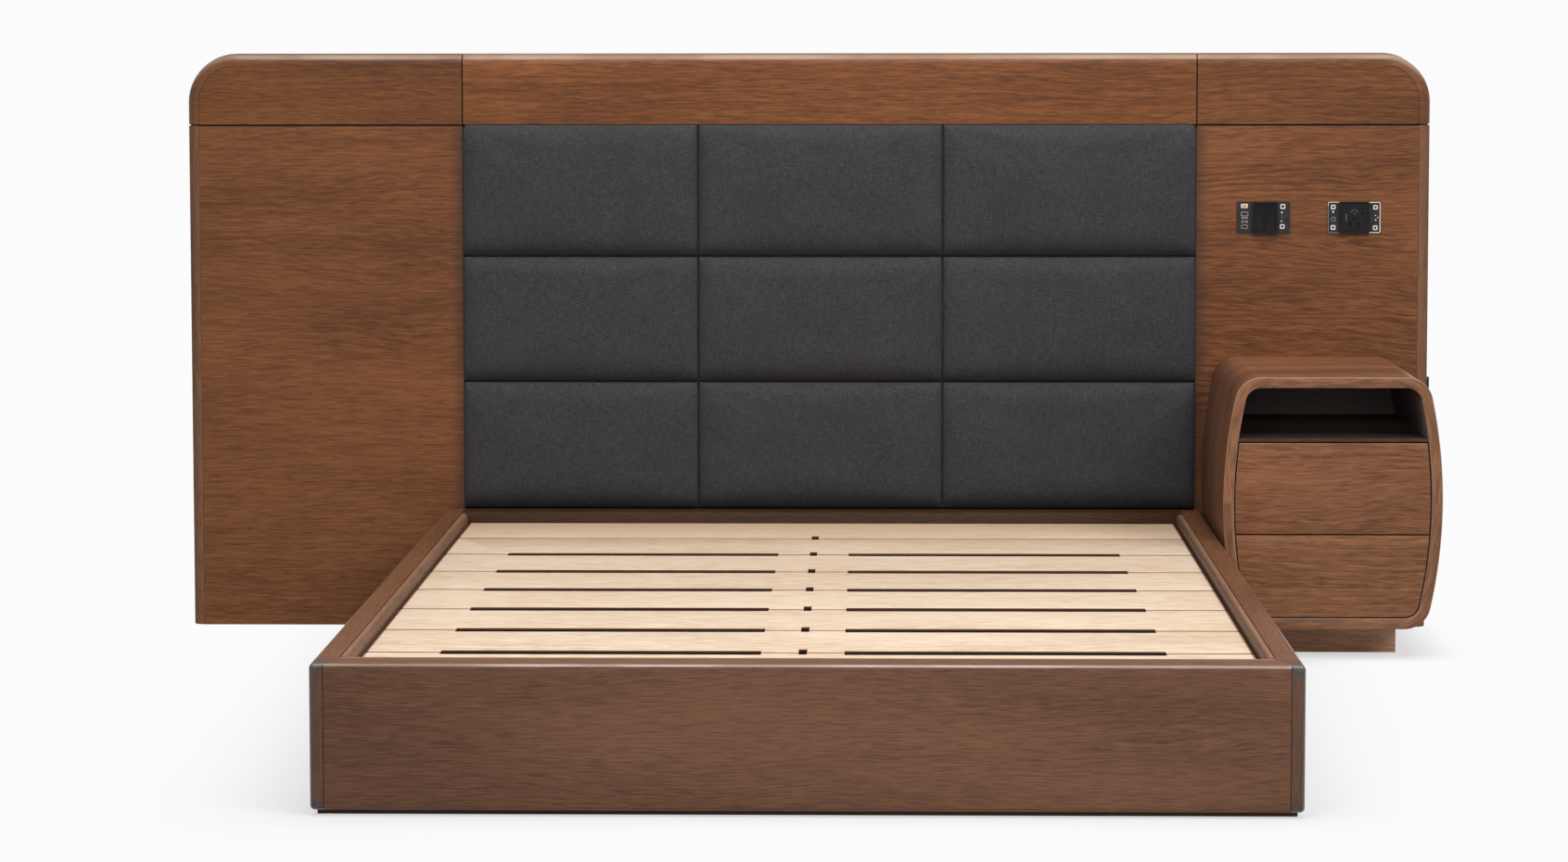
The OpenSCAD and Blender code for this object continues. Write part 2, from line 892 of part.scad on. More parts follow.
// What is clipped off both ends of a board's edge at y; way is 1 where the board lies behind that edge
module end_clips(y, way) {
  both_sides()
    translate([0, 0, deck_bottom - 1])
      linear_extrude(board_t + 2)
        polygon([
          [board_half + 1, y - way], [board_half - board_clip_w, y - way],
          [board_half - board_clip_w, y], [board_half, y + way * board_clip_l],
          [board_half + 1, y + way * board_clip_l]
        ]);
}

module deck_board(i) {
  back = seam_y(i - 1) - (i > 1 ? board_gap / 2 : 0);
  front = i < board_n ? seam_y(i) + board_gap / 2 : deck_foot_y;
  color(PINE) placed()
    difference() {
      board_blank(front, back, i < board_n ? board_chamfer : 0, i > 1 ? board_chamfer : 0);
      if (i > 1) {
        joint_cuts(i - 1);
        end_clips(back, -1);
      }
      if (i < board_n) {
        joint_cuts(i);
        end_clips(front, 1);
      }
    }
}

module deck_ledges() {
  color(PINE) placed()
    both_sides()
      block([rail_in - ledge_w, foot_in_y, ledge_bottom], [rail_in, well_head_y, deck_bottom]);
}

module centre_beam() {
  color(PINE) placed()
    block([-beam_w / 2, foot_in_y, beam_bottom], [beam_w / 2, well_head_y, deck_bottom]);
}

module beam_legs() {
  color(PINE) placed()
    for (i = [1:leg_n])
      translate([0, well_head_y - well_l * i / (leg_n + 1), 0]) {
        cylinder(r = leg_foot_r, h = leg_foot_h);
        block([-leg_w / 2, -leg_w / 2, leg_foot_h], [leg_w / 2, leg_w / 2, beam_bottom]);
      }
}

// ---------- corner hardware ----------

// Places the children at each bolt: the origin on the bracket's face, Z into the wood
module at_bolts() {
  reach = bracket_l * 0.6;
  for (z = [bracket_z + bracket_h * 0.25, bracket_z + bracket_h * 0.75])
    both_sides() {
      for (y = [-reach, foot_in_y + reach])
        translate([rail_in - bracket_t, y, z])
          rotate([0, 90, 0])
            children();
      translate([rail_in - reach, -bracket_t, z])
        rotate([-90, 0, 0])
          children();
      translate([rail_in - reach, foot_in_y + bracket_t, z])
        rotate([90, 0, 0])
          children();
    }
}

module bolt_shanks(d) {
  at_bolts()
    cylinder(d = d, h = bracket_t + bolt_in);
}

module bracket_bolts() {
  head_h = 5;
  color(STEEL) placed()
    at_bolts() {
      translate([0, 0, -head_h])
        cylinder(d = bolt_d * 1.9, h = head_h, $fn = 6);
      cylinder(d = bolt_d, h = bracket_t + bolt_in);
    }
}

module corner_brackets() {
  t = bracket_t;
  color(STEEL) placed()
    difference() {
      both_sides()
        translate([rail_in, 0, bracket_z]) {
          block([-t, -bracket_l, 0], [0, 0, bracket_h]);
          block([-bracket_l, -t, 0], [-t, 0, bracket_h]);
          block([-t, foot_in_y, 0], [0, foot_in_y + bracket_l, bracket_h]);
          block([-bracket_l, foot_in_y, 0], [-t, foot_in_y + t, bracket_h]);
        }
      bolt_shanks(bolt_d);
    }
}

// ---------- nightstand ----------

// Outline of the barrel shell, drawn inwards by inset: bowed sides that run into round corners
module barrel(inset) {
  r = ns_corner_r - inset;
  touch_z = ns_corner_z + r * sin(ns_corner_a);
  intersection() {
    translate([ns_side_x, 0])
      circle(ns_side_r - inset, $fn = 360);
    translate([-ns_side_x, 0])
      circle(ns_side_r - inset, $fn = 360);
    square([ns_w, 2 * touch_z], center = true);
  }
  square([2 * ns_corner_x, 2 * (ns_half_h - inset)], center = true);
  for (x = [-ns_corner_x, ns_corner_x], z = [-ns_corner_z, ns_corner_z])
    translate([x, z])
      circle(r);
}

// The part of the barrel outline between two heights above the floor
module barrel_band(inset, z_low, z_high) {
  intersection() {
    barrel(inset);
    translate([-ns_w, z_low - ns_mid])
      square([2 * ns_w, z_high - z_low]);
  }
}

// Extrudes a barrel outline from y_front to y_back in its place beside the bed
module ns_run(y_front, y_back) {
  translate([ns_x, 0, ns_mid])
    along_y(y_front, y_back)
      children();
}

module nightstand_shell() {
  color(WALNUT) placed()
    ns_run(-ns_d, 0)
      difference() {
        barrel(0);
        barrel(ns_wall);
      }
}

module niche_shelf() {
  color(WALNUT_DARK) placed() {
    ns_run(inner_y, -ns_back_t)
      barrel_band(ns_inside, shelf_bottom, shelf_top);
    ns_run(front_y, inner_y)
      barrel_band(ns_inside, shelf_top - shelf_nose, shelf_top);
  }
}

module nightstand_back() {
  color(WALNUT_DARK) placed()
    ns_run(-ns_back_t, 0)
      barrel(ns_inside);
}

module nightstand_plinth() {
  t = ns_plinth_t;
  x = ns_plinth_w / 2;
  color(WALNUT_DARK) placed()
    translate([ns_x, 0, 0])
      difference() {
        block([-x, -ns_plinth_d, 0], [x, -ns_back_t, ns_bottom]);
        block([t - x, t - ns_plinth_d, -1], [x - t, -ns_back_t - t, ns_bottom + 1]);
      }
}

// Cheeks between the bowed shell and the straight runners
module runner_cheeks() {
  color(PLY) placed()
    ns_run(inner_y, -ns_back_t)
      difference() {
        barrel_band(ns_inside, ns_bottom, shelf_bottom);
        translate([-cheek_room / 2, -ns_half_h])
          square([cheek_room, 2 * ns_half_h]);
      }
}

// Runner channel: web at X = 0, open towards negative X
module channel(h, d, t) {
  difference() {
    translate([-d, -h / 2])
      square([d, h]);
    translate([-d - 1, t - h / 2])
      square([d - t + 1, h - 2 * t]);
  }
}

// A pair of members, left and right of a drawer, with their middle at height z
module runner_pair(z) {
  translate([ns_x, 0, z])
    both_sides()
      along_y(runner_y, runner_y + runner_l)
        children();
}

upper_runner_z = upper_front_z + box_lift + upper_box_h / 2;
lower_runner_z = lower_front_z + box_lift + lower_box_h / 2;

module outer_runners() {
  color(STEEL) placed()
    for (z = [upper_runner_z, lower_runner_z])
      runner_pair(z)
        translate([cheek_room / 2, 0])
          channel(runner_h, channel_d, runner_t);
}

module middle_runners(z) {
  color(STEEL) placed()
    runner_pair(z)
      translate([mid_web, 0])
        channel(mid_h, channel_d - 1, runner_t);
}

module upper_middle_runners() {
  middle_runners(upper_runner_z);
}

module lower_middle_runners() {
  middle_runners(lower_runner_z);
}

// The members on the drawer box, which open the other way
module drawer_runners(z) {
  color(STEEL) placed()
    runner_pair(z)
      translate([box_half, 0])
        mirror([1, 0])
          channel(inner_h, inner_reach - box_half, runner_t);
}

module upper_drawer_runners() {
  drawer_runners(upper_runner_z);
}

module lower_drawer_runners() {
  drawer_runners(lower_runner_z);
}

// A drawer front that follows the shell's inner curve
module drawer_front(z, h) {
  color(WALNUT) placed()
    ns_run(front_y, box_y)
      barrel_band(ns_wall + front_gap, z, z + h);
}

module upper_drawer_front() {
  drawer_front(upper_front_z, upper_front_h);
}

module lower_drawer_front() {
  drawer_front(lower_front_z, lower_front_h);
}

// A drawer box: two sides, and between them the ends and a bottom panel
module drawer_box(z, h) {
  t = box_t;
  x = box_half;
  in_x = x - t - hairline;
  rise = 8;
  color(PLY) placed()
    translate([ns_x, box_y, z]) {
      both_sides()
        block([x - t, 0, 0], [x, box_l, h]);
      for (y = [0, box_l - t])
        block([-in_x, y, 0], [in_x, y + t, h]);
      block([-in_x, t + hairline, rise], [in_x, box_l - t - hairline, rise + bottom_t]);
    }
}

module upper_drawer_box() {
  drawer_box(upper_front_z + box_lift, upper_box_h);
}

module lower_drawer_box() {
  drawer_box(lower_front_z + box_lift, lower_box_h);
}

// ---------- switch, socket and edge fitting ----------

// A plate on the wing, the block on it and the body through the cut-out
module device_body(block_w, shift = 0) {
  fit = 1;
  block([-plate_w / 2, -plate_t, -plate_h / 2], [plate_w / 2, 0, plate_h / 2]);
  block([shift - block_w / 2, block_y, -block_h / 2], [shift + block_w / 2, -plate_t, block_h / 2]);
  block([fit - cutout_w / 2, 0, fit - cutout_h / 2],
        [cutout_w / 2 - fit, device_depth, cutout_h / 2 - fit]);
}

// Pivot of rocker side -1 or 1, on the face of the plate
module at_rocker(side) {
  translate([switch_cx + switch_block_shift + side * bay_pitch / 2, -plate_t, device_z])
    children();
}

module switch_module() {
  room = [bay_room_w, block_rise + plate_t + 8, bay_room_h];
  color(BLACK) placed()
    difference() {
      translate([switch_cx, 0, device_z])
        device_body(switch_block_w, switch_block_shift);
      for (side = [-1, 1])
        at_rocker(side) {
          translate([-room[0] / 2, -block_rise - 1, -room[2] / 2])
            cube(room);
          rotate([0, 90, 0])
            cylinder(r = pin_r + 0.2, h = pin_l + 0.4, center = true);
        }
    }
}

// One rocker, tilted to its first position, with its two pivot pins
module rocker(side) {
  w = bay_room_w - 2 * rocker_gap;
  h = rocker_half_h;
  deep = 4;
  rise = block_rise - 1;
  color(BLACK) placed()
    at_rocker(side)
      rotate([rocker_tilt, 0, 0]) {
        rotate([90, 0, 90])
          linear_extrude(w, center = true)
            polygon([[deep, -h * 0.8], [-rise, -h], [1.5 - rise, 0], [-rise, h], [deep, h * 0.8]]);
        rotate([0, 90, 0])
          cylinder(r = pin_r, h = pin_l, center = true);
      }
}

module left_rocker() {
  rocker(-1);
}

module right_rocker() {
  rocker(1);
}

// A round pin hole or flat slot sunk into the socket's face
module socket_holes() {
  deep = 9;
  for (x = [-18, 18])
    translate([x, block_y - 1, 10])
      rotate([-90, 0, 0])
        cylinder(d = 3.6, h = deep);
  for (x = [-9, 9])
    translate([x - 1.2, block_y - 1, -19])
      cube([2.4, deep, 9]);
  translate([0, block_y - 1, -2])
    rotate([-90, 0, 0])
      cylinder(d = 3.8, h = deep);
}

module socket_module() {
  frame_w = 3;
  color(BLACK) placed()
    translate([socket_cx, 0, device_z])
      difference() {
        device_body(socket_block_w);
        block([frame_w - socket_block_w / 2, block_y - 1, frame_w - block_h / 2],
              [socket_block_w / 2 - frame_w, block_y + 1.5, block_h / 2 - frame_w]);
        socket_holes();
      }
}

module edge_fitting() {
  r = fitting_w / 2;
  color(BLACK) placed()
    translate([head_r, head_t / 2, fitting_z])
      rotate([0, 90, 0])
        linear_extrude(fitting_t) {
          square([fitting_l - fitting_w, fitting_w], center = true);
          for (x = [-1, 1])
            translate([x * (fitting_l / 2 - r), 0])
              circle(r);
        }
}

// ---------- drawing ----------

left_wing_panel();
right_wing_panel();
edge_lippings();
left_cap();
centre_cap();
right_cap();
joint_strips();
back_frame();
centre_backer();
apron();
pad_boards();
for (r = [1:3], c = [1:3])
  pad(r, c);
left_side_rail();
right_side_rail();
footboard();
head_rail();
rail_mouldings();
corner_posts();
corner_caps();
plinth_boards();
for (i = [1:board_n])
  deck_board(i);
deck_ledges();
centre_beam();
beam_legs();
corner_brackets();
bracket_bolts();
nightstand_shell();
niche_shelf();
nightstand_back();
nightstand_plinth();
runner_cheeks();
outer_runners();
upper_middle_runners();
lower_middle_runners();
upper_drawer_front();
upper_drawer_box();
upper_drawer_runners();
lower_drawer_front();
lower_drawer_box();
lower_drawer_runners();
switch_module();
left_rocker();
right_rocker();
socket_module();
edge_fitting();
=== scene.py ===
import math

import bpy
import numpy as np
from mathutils import Matrix, Vector


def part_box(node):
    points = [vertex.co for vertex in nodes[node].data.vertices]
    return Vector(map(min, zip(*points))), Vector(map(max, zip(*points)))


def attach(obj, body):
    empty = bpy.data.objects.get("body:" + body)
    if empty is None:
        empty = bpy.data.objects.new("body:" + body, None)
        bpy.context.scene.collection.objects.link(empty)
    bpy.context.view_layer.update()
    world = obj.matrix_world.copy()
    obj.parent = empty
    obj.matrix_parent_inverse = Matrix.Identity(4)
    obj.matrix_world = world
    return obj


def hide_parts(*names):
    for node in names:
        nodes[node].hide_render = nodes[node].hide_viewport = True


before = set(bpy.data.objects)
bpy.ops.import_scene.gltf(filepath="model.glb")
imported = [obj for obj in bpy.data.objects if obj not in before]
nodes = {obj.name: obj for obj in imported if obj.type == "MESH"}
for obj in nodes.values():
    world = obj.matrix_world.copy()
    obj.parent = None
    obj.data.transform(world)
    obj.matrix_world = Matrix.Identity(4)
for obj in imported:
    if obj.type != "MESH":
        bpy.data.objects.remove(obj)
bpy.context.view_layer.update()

rng = np.random.default_rng(7)

# The middle of the bed and the headboard's front face, in the shared frame, in metres
BED_X = 0.0295
FACE_Y = 1.070


def spot(x, y, z):
    """A point measured in millimetres from the bed's centre line, the headboard's face and the floor."""
    return (x / 1000 + BED_X, y / 1000 + FACE_Y, z / 1000)


# ---- shader maths


class Value:
    """A shader socket that takes part in arithmetic: each operator adds one Math node."""

    def __init__(self, net, socket):
        self.net = net
        self.socket = socket

    def math(self, operation, *others):
        return self.net.add("ShaderNodeMath", {"operation": operation}, dict(enumerate((self, *others))))

    def __add__(self, other):
        return self.math("ADD", other)

    def __sub__(self, other):
        return self.math("SUBTRACT", other)

    def __rsub__(self, other):
        return self.net.add("ShaderNodeMath", {"operation": "SUBTRACT"}, {0: other, 1: self})

    def __mul__(self, other):
        return self.math("MULTIPLY", other)

    def __truediv__(self, other):
        return self.math("DIVIDE", other)

    def __pow__(self, other):
        return self.math("POWER", other)

    def __neg__(self):
        return self * -1.0

    __radd__ = __add__
    __rmul__ = __mul__

    def size(self):
        return self.math("ABSOLUTE")

    def above(self, edge):
        return self.math("GREATER_THAN", edge)

    def smooth(self, low, high, start=0.0, end=1.0):
        """Smooth step from start to end while the value runs from low to high."""
        sockets = {"Value": self, "From Min": low, "From Max": high, "To Min": start, "To Max": end}
        return self.net.add("ShaderNodeMapRange", {"interpolation_type": "SMOOTHSTEP"}, sockets)

    def clip(self):
        return self.net.add("ShaderNodeClamp", {}, {"Value": self})


class Net:
    """The node tree of one material."""

    def __init__(self, name):
        self.material = bpy.data.materials.new(name)
        self.material.use_nodes = True
        self.tree = self.material.node_tree
        self.tree.nodes.clear()

    def add(self, kind, settings, sockets, output=0):
        """One node: its settings come first, then the values or links of its sockets."""
        node = self.tree.nodes.new(kind)
        for key, value in settings.items():
            if key == "stops":
                ramp, anywhere = node.color_ramp, 0.5
                while len(ramp.elements) < len(value):
                    ramp.elements.new(anywhere)
                for element, (place, colour) in zip(ramp.elements, value):
                    element.position = place
                    element.color = (*colour, 1.0)
            else:
                setattr(node, key, value)
        for key, value in sockets.items():
            if isinstance(value, Value):
                self.tree.links.new(value.socket, node.inputs[key])
            elif isinstance(value, tuple) and len(value) == 3 and node.inputs[key].type == "RGBA":
                node.inputs[key].default_value = (*value, 1.0)
            else:
                node.inputs[key].default_value = value
        return Value(self, node.outputs[output])

    def place(self):
        """Object coordinates in metres as three values."""
        return self.parts(self.add("ShaderNodeTexCoord", {}, {}, "Object"))

    def facing(self):
        """The surface's normal in the piece's own axes as three values."""
        return self.parts(self.add("ShaderNodeTexCoord", {}, {}, "Normal"))

    def uv(self):
        return self.parts(self.add("ShaderNodeTexCoord", {}, {}, "UV"))

    def parts(self, vector):
        node = self.add("ShaderNodeSeparateXYZ", {}, {0: vector}).socket.node
        return tuple(Value(self, out) for out in node.outputs)

    def vector(self, x, y, z=0.0):
        return self.add("ShaderNodeCombineXYZ", {}, {0: x, 1: y, 2: z})

    def noise(self, x, y, z=0.0, detail=2.0, rough=0.5):
        place = self.vector(x, y, z)
        sockets = {"Vector": place, "Scale": 1.0, "Detail": detail, "Roughness": rough}
        return self.add("ShaderNodeTexNoise", {}, sockets)

    def mottle(self, scale, detail=2.0):
        """Noise of the same scale all ways, in cells per metre."""
        x, y, z = self.place()
        return self.noise(x * scale, y * scale, z * scale, detail)

    def ramp(self, factor, stops):
        return self.add("ShaderNodeValToRGB", {"stops": stops}, {0: factor})

    def mix(self, factor, first, second, mode="MIX"):
        """Mixes two colours."""
        settings = {"data_type": "RGBA", "blend_type": mode}
        return self.add("ShaderNodeMix", settings, {0: factor, 6: first, 7: second}, 2)

    def rim(self, front_only=False):
        """1 where the surface turns an edge: no axis of the normal is close to 1.

        front_only takes the edges between the front and anything else, for pieces that bend in section.
        """
        x, y, z = (part.size() for part in self.facing())
        if front_only:
            beside = (1.0 - y * y).math("MAXIMUM", 0.0).math("SQRT")
            return y.math("MINIMUM", beside).smooth(0.25, 0.60)
        return (1.0 - x.math("MAXIMUM", y).math("MAXIMUM", z)).smooth(0.03, 0.20)

    def bump(self, height, distance, strength=1.0):
        return self.add("ShaderNodeBump", {}, {"Height": height, "Distance": distance, "Strength": strength})

    def finish(self, **sockets):
        """Ends the tree in a Principled shader and gives the material."""
        named = {key.replace("_", " "): value for key, value in sockets.items()}
        self.out(self.add("ShaderNodeBsdfPrincipled", {}, named))
        return self.material

    def out(self, shader):
        node = self.tree.nodes.new("ShaderNodeOutputMaterial")
        self.tree.links.new(shader.socket, node.inputs["Surface"])


# ---- wood

# Dark line, body and light fleck of each wood. WALNUT_BASE and STAIN are far paler than the real
# finishes, because their pieces stand in deep shade.
WALNUT = ((0.080, 0.0285, 0.0100), (0.146, 0.0530, 0.0187), (0.215, 0.0820, 0.0300))
WALNUT_CAP = ((0.084, 0.0285, 0.0083), (0.154, 0.0525, 0.0154), (0.226, 0.0820, 0.0255))
WALNUT_SIDE_CAP = ((0.068, 0.0235, 0.0072), (0.125, 0.0440, 0.0135), (0.185, 0.0685, 0.0220))
WALNUT_FOOT = ((0.085, 0.0385, 0.0200), (0.138, 0.0625, 0.0335), (0.185, 0.0860, 0.0470))
WALNUT_WARM = ((0.105, 0.0410, 0.0180), (0.184, 0.0750, 0.0345), (0.260, 0.1090, 0.0510))
WALNUT_LOWER = ((0.118, 0.0480, 0.0220), (0.207, 0.0880, 0.0415), (0.290, 0.1260, 0.0600))
WALNUT_EDGE = ((0.125, 0.0600, 0.0330), (0.190, 0.0950, 0.0550), (0.250, 0.1260, 0.0750))
WALNUT_DARK = ((0.023, 0.0098, 0.0048), (0.042, 0.0172, 0.0070), (0.060, 0.0245, 0.0102))
WALNUT_FOOTING = ((0.026, 0.0088, 0.0033), (0.048, 0.0163, 0.0060), (0.068, 0.0235, 0.0085))
WALNUT_CORNER = ((0.055, 0.0245, 0.0125), (0.090, 0.0400, 0.0210), (0.120, 0.0550, 0.0295))
WALNUT_RAIL = ((0.073, 0.0285, 0.0122), (0.130, 0.0530, 0.0235), (0.182, 0.0760, 0.0345))
WALNUT_BASE = ((0.350, 0.1850, 0.1120), (0.560, 0.3100, 0.1930), (0.690, 0.4100, 0.2650))
MOULDING = ((0.165, 0.0830, 0.0480), (0.230, 0.1220, 0.0740), (0.290, 0.1600, 0.1000))
PINE = ((0.540, 0.3800, 0.2500), (0.680, 0.5300, 0.3900), (0.740, 0.6100, 0.4750))
STAIN = ((0.161, 0.1200, 0.1090), (0.188, 0.1410, 0.1290), (0.214, 0.1630, 0.1500))
BIRCH = ((0.400, 0.2600, 0.1450), (0.520, 0.3600, 0.2150), (0.600, 0.4400, 0.2800))


def along(net, way):
    """Distance along the grain, then the two across it, for grain along X, Y or Z."""
    x, y, z = net.place()
    return {"X": (x, z, y), "Y": (y, x, z), "Z": (z, x, y)}[way]


def along_frame(turn_y):
    """Grain along Y, and along X nearer the foot than turn_y: two side pieces and a cross piece."""

    def lay(net):
        x, y, z = net.place()
        cross = 1.0 - y.above(turn_y)
        return y + (x - y) * cross, x + (y - x) * cross, z

    return lay


# The nightstand's bowed shell: its middle, and how its half width shrinks away from mid height
SHELL_X, SHELL_Z = 1.069 + BED_X, 0.3405
SHELL_HALF_W, SHELL_HALF_H, SHELL_BOW = 0.228, 0.2635, 1 / (2 * 1.040)
# How square its corners are, and where its wall's inner face lies on the scale of shell_ring
SHELL_POWER, SHELL_INSIDE = 7.0, 0.945


def shell_ring(net):
    """How far out a point of the shell lies, 1 on its outer outline, and its place in the section."""
    x, y, z = net.place()
    up = z - SHELL_Z
    side = (x - SHELL_X) / (SHELL_HALF_W - up * up * SHELL_BOW)
    ring = (side.size() ** SHELL_POWER + (up / SHELL_HALF_H).size() ** SHELL_POWER) ** (1 / SHELL_POWER)
    return ring, x - SHELL_X, y, up


def along_shell(net):
    """Grain that follows the bent shell round: the angle in the section, then the depth, then the ring."""
    ring, side, y, up = shell_ring(net)
    metres_per_radian, metres_per_ring = 0.25, 0.24
    turn = up.math("ARCTAN2", side) * metres_per_radian
    return turn, y, ring * metres_per_ring


def figure(net, lay, seed, wave=1.0, knots=(), rings=0.10, sweeps=0.34):
    """Tone of the wood about 0.5, its pores and its finest fibres.

    The distance across the grain is bent by slow noise, so lines of equal value wander along the
    board; a knot adds a bell-shaped bulge, round which the lines close into an eye or a long arch.
    It is given by its place along and across the grain, its reach across it and how many times
    further it reaches along it.
    On that bent distance lie sweeps, streaks, flecks, short dark dashes and growth rings, each ring
    rising as fract(distance / spacing) does and ending in a thin dark vein. The factors of g, a, b
    and c are the noise's cells per metre, along the grain and across it.
    """
    board_shift, knot_bulge, rings_per_metre, vein = 3.1, 0.75, 58.0, 0.9
    g, a, b = lay(net) if callable(lay) else along(net, lay)
    shift = seed * board_shift
    g = g + shift
    broad = net.noise(g * 1.2, a * 4.0 + seed, b * 4.0, 1.0)
    middle = net.noise(g * 4.6, a * 15.0 + seed, b * 15.0, 1.0)
    c = a + b * 0.45 + (broad - 0.5) * (0.075 * wave) + (middle - 0.5) * (0.014 * wave)
    for along_m, across_m, reach, aspect in knots:
        d = ((g - (along_m + shift)) / (reach * aspect)) ** 2.0 + ((a - across_m) / reach) ** 2.0
        c = c + (-d).math("EXPONENT") * (reach * knot_bulge)
    sweep = net.noise(g * 1.5, c * 13.0, seed + 2.0, 1.0) - 0.5
    streak = net.noise(g * 3.2, c * 62.0, seed) - 0.5
    fleck = net.noise(g * 17.0, c * 150.0, b * 60.0 + seed, 2.0, 0.6) - 0.5
    dash = net.noise(g * 20.0, c * 350.0, b * 90.0 + seed, 2.0, 0.6) - 0.5
    fibre = net.noise(g * 30.0, c * 1100.0, b * 200.0, 1.0) - 0.5
    cloud = net.noise(g * 1.6, a * 4.2, b * 3.0 + seed, 1.0) - 0.5
    ring = (c * rings_per_metre + net.noise(g * 2.5, a * 9.0, seed, 1.0) * 1.3).math("FRACT")
    patch = net.noise(g * 1.3, a * 7.0, seed + 5.0, 1.0).smooth(0.42, 0.66)
    ring = (ring - 0.5 - ring.smooth(0.80, 0.97) * vein) * patch
    pore = net.noise(g * 26.0, c * 560.0, b * 300.0, 1.0).smooth(0.60, 0.74)
    tone = sweep * sweeps + streak * 0.24 + fleck * 0.36 + dash * 1.05
    tone = tone + fibre * 0.60 + cloud * 0.50 + ring * rings
    return tone, pore, fibre


def wood(
    name, lay, seed, colours, wave=1.0, knots=(), depth=1.0, rings=0.10, sweeps=0.34,
    rough=0.46, level=0.18, pores=0.5, polish=0.85, arris=0.30, rubbed=None, tilt=(-0.50, 0.15),
    marks=None, bent=False,
):
    """A satin finished board with glossier arrises that carry a painted highlight.

    depth is the contrast of the figure, arris how much of the painted highlight's colour its edges take,
    rubbed that colour and polish their gloss. The painted highlight lies on an arris in
    patches, from not at all where its normal rises by the first number of tilt to fully at the second.
    bent is for the piece that curves in section, whose arrises lie round its front only.
    """
    net = Net(name)
    tone, pore, fibre = figure(net, lay, seed, wave, knots, rings, sweeps)
    dark, body, light = colours
    colour = net.ramp(tone * depth + 0.5, ((0.20, dark), (0.50, body), (0.80, light)))
    in_pores = tuple(0.45 * c for c in dark)
    colour = net.mix(pore * pores, colour, in_pores)
    _, _, up = net.facing()
    # painted highlight: a paler colour, in patches, on the arrises that rise by tilt
    rim = net.rim(bent) * up.smooth(*tilt) * net.mottle(5.0).smooth(0.36, 0.60, 0.55, 1.0)
    paler = tuple(min(1.0, 1.9 * c + 0.03) for c in body)
    colour = net.mix(rim * arris, colour, rubbed or paler)
    if marks:
        colour = marks(net, colour)
    return net.finish(
        Base_Color=colour,
        Roughness=tone * -0.08 + rim * -0.16 + rough,
        Specular_IOR_Level=level,
        Coat_Weight=rim * polish,
        Coat_Roughness=0.20,
        Normal=net.bump(fibre - pore * 1.2, 0.0001, 0.6),
    )


# The marks that follow paint some of the soft shade that the photograph shows where pieces meet.
# The lights alone leave it too weak, so in another light these places can look too dark.

BOARD_LOW, BOARD_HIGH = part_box("deck_board_2")
# Heights between which a board's cut edge goes from the black of painted shade to the brown of its stain
EDGE_BLACK_Z, EDGE_BROWN_Z = 0.2335, 0.2378


def pine_marks(net, colour):
    """The boards' cut edges are stained brown at the arris and painted black lower down, as shade in the
    gaps and slots.

    The last of the boards' ends take a painted shade beside the moulding, and the boards near the head
    are painted darker and warmer, as shade from the headboard.
    """
    _, _, up = net.facing()
    x, y, z = net.place()
    # painted shade: darker and warmer towards the headboard
    near_head = y.smooth(FACE_Y - 0.60, FACE_Y - 0.05)
    colour = net.mix(near_head, colour, (0.670, 0.4700, 0.3100), "DARKEN")
    # painted shade: black on the cut edges below the arris
    edge = net.mix(z.smooth(EDGE_BLACK_Z, EDGE_BROWN_Z), (0.005, 0.0025, 0.0018), (0.170, 0.0620, 0.0280))
    # painted shade on the top face near the boards' ends
    to_end = (x - BOARD_LOW.x).math("MINIMUM", BOARD_HIGH.x - x)
    face = up.size().smooth(0.80, 0.97) * to_end.smooth(0.0022, 0.0042, 0.12, 1.0)
    return net.mix(face, edge, colour)


def moulding_marks(net, colour):
    """The shade on the mouldings' round, which deepens towards the boards and more on the right rail."""
    across, _, _ = net.facing()
    on_left_rail = 0.75
    inward = (-across).math("MAXIMUM", across * on_left_rail)
    return net.mix(inward.smooth(0.50, 1.00, 0.0, 0.70), colour, (0.050, 0.0230, 0.0130))


# The stain inside the niche, paler than it is because the niche lies in deep shade
NICHE_STAIN = (0.155, 0.1130, 0.1020)


def niche_marks(net, colour):
    """Stains the inside of the bent shell, paler than the real stain against its deep shade, and takes its
    front edge a little paler.

    Its side towards the bed is painted with the shade there, which deepens towards the wall.
    """
    ring, _, y, _ = shell_ring(net)
    across, front, _ = net.facing()
    is_front = front.size().above(0.6)
    colour = net.mix(is_front * 0.10, colour, (0.400, 0.2400, 0.1500))
    shade = (-across).smooth(0.10, 0.90) * y.smooth(FACE_Y - 0.56, FACE_Y, 0.34, 0.62)
    colour = net.mix(shade, colour, (0.030, 0.0210, 0.0165))
    inside = (1.0 - ring.smooth(SHELL_INSIDE - 0.004, SHELL_INSIDE + 0.004)) * (1.0 - is_front)
    return net.mix(inside, colour, NICHE_STAIN)


def shelf_marks(net, colour):
    """The shelf is stained like the niche and keeps its colour on the nose.

    The stain is graded from dark at the front, where light falls in, to pale in the niche's deep
    shade, so that it shows an almost even black.
    """
    _, front, _ = net.facing()
    _, y, _ = net.place()
    inwards = y.smooth(FACE_Y - 0.46, FACE_Y - 0.12)
    stain = net.mix(inwards, (0.036, 0.0255, 0.0230), (0.660, 0.4700, 0.4200))
    return net.mix(front.size().above(0.5), stain, colour)


WING_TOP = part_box("left_wing_panel")[1].z


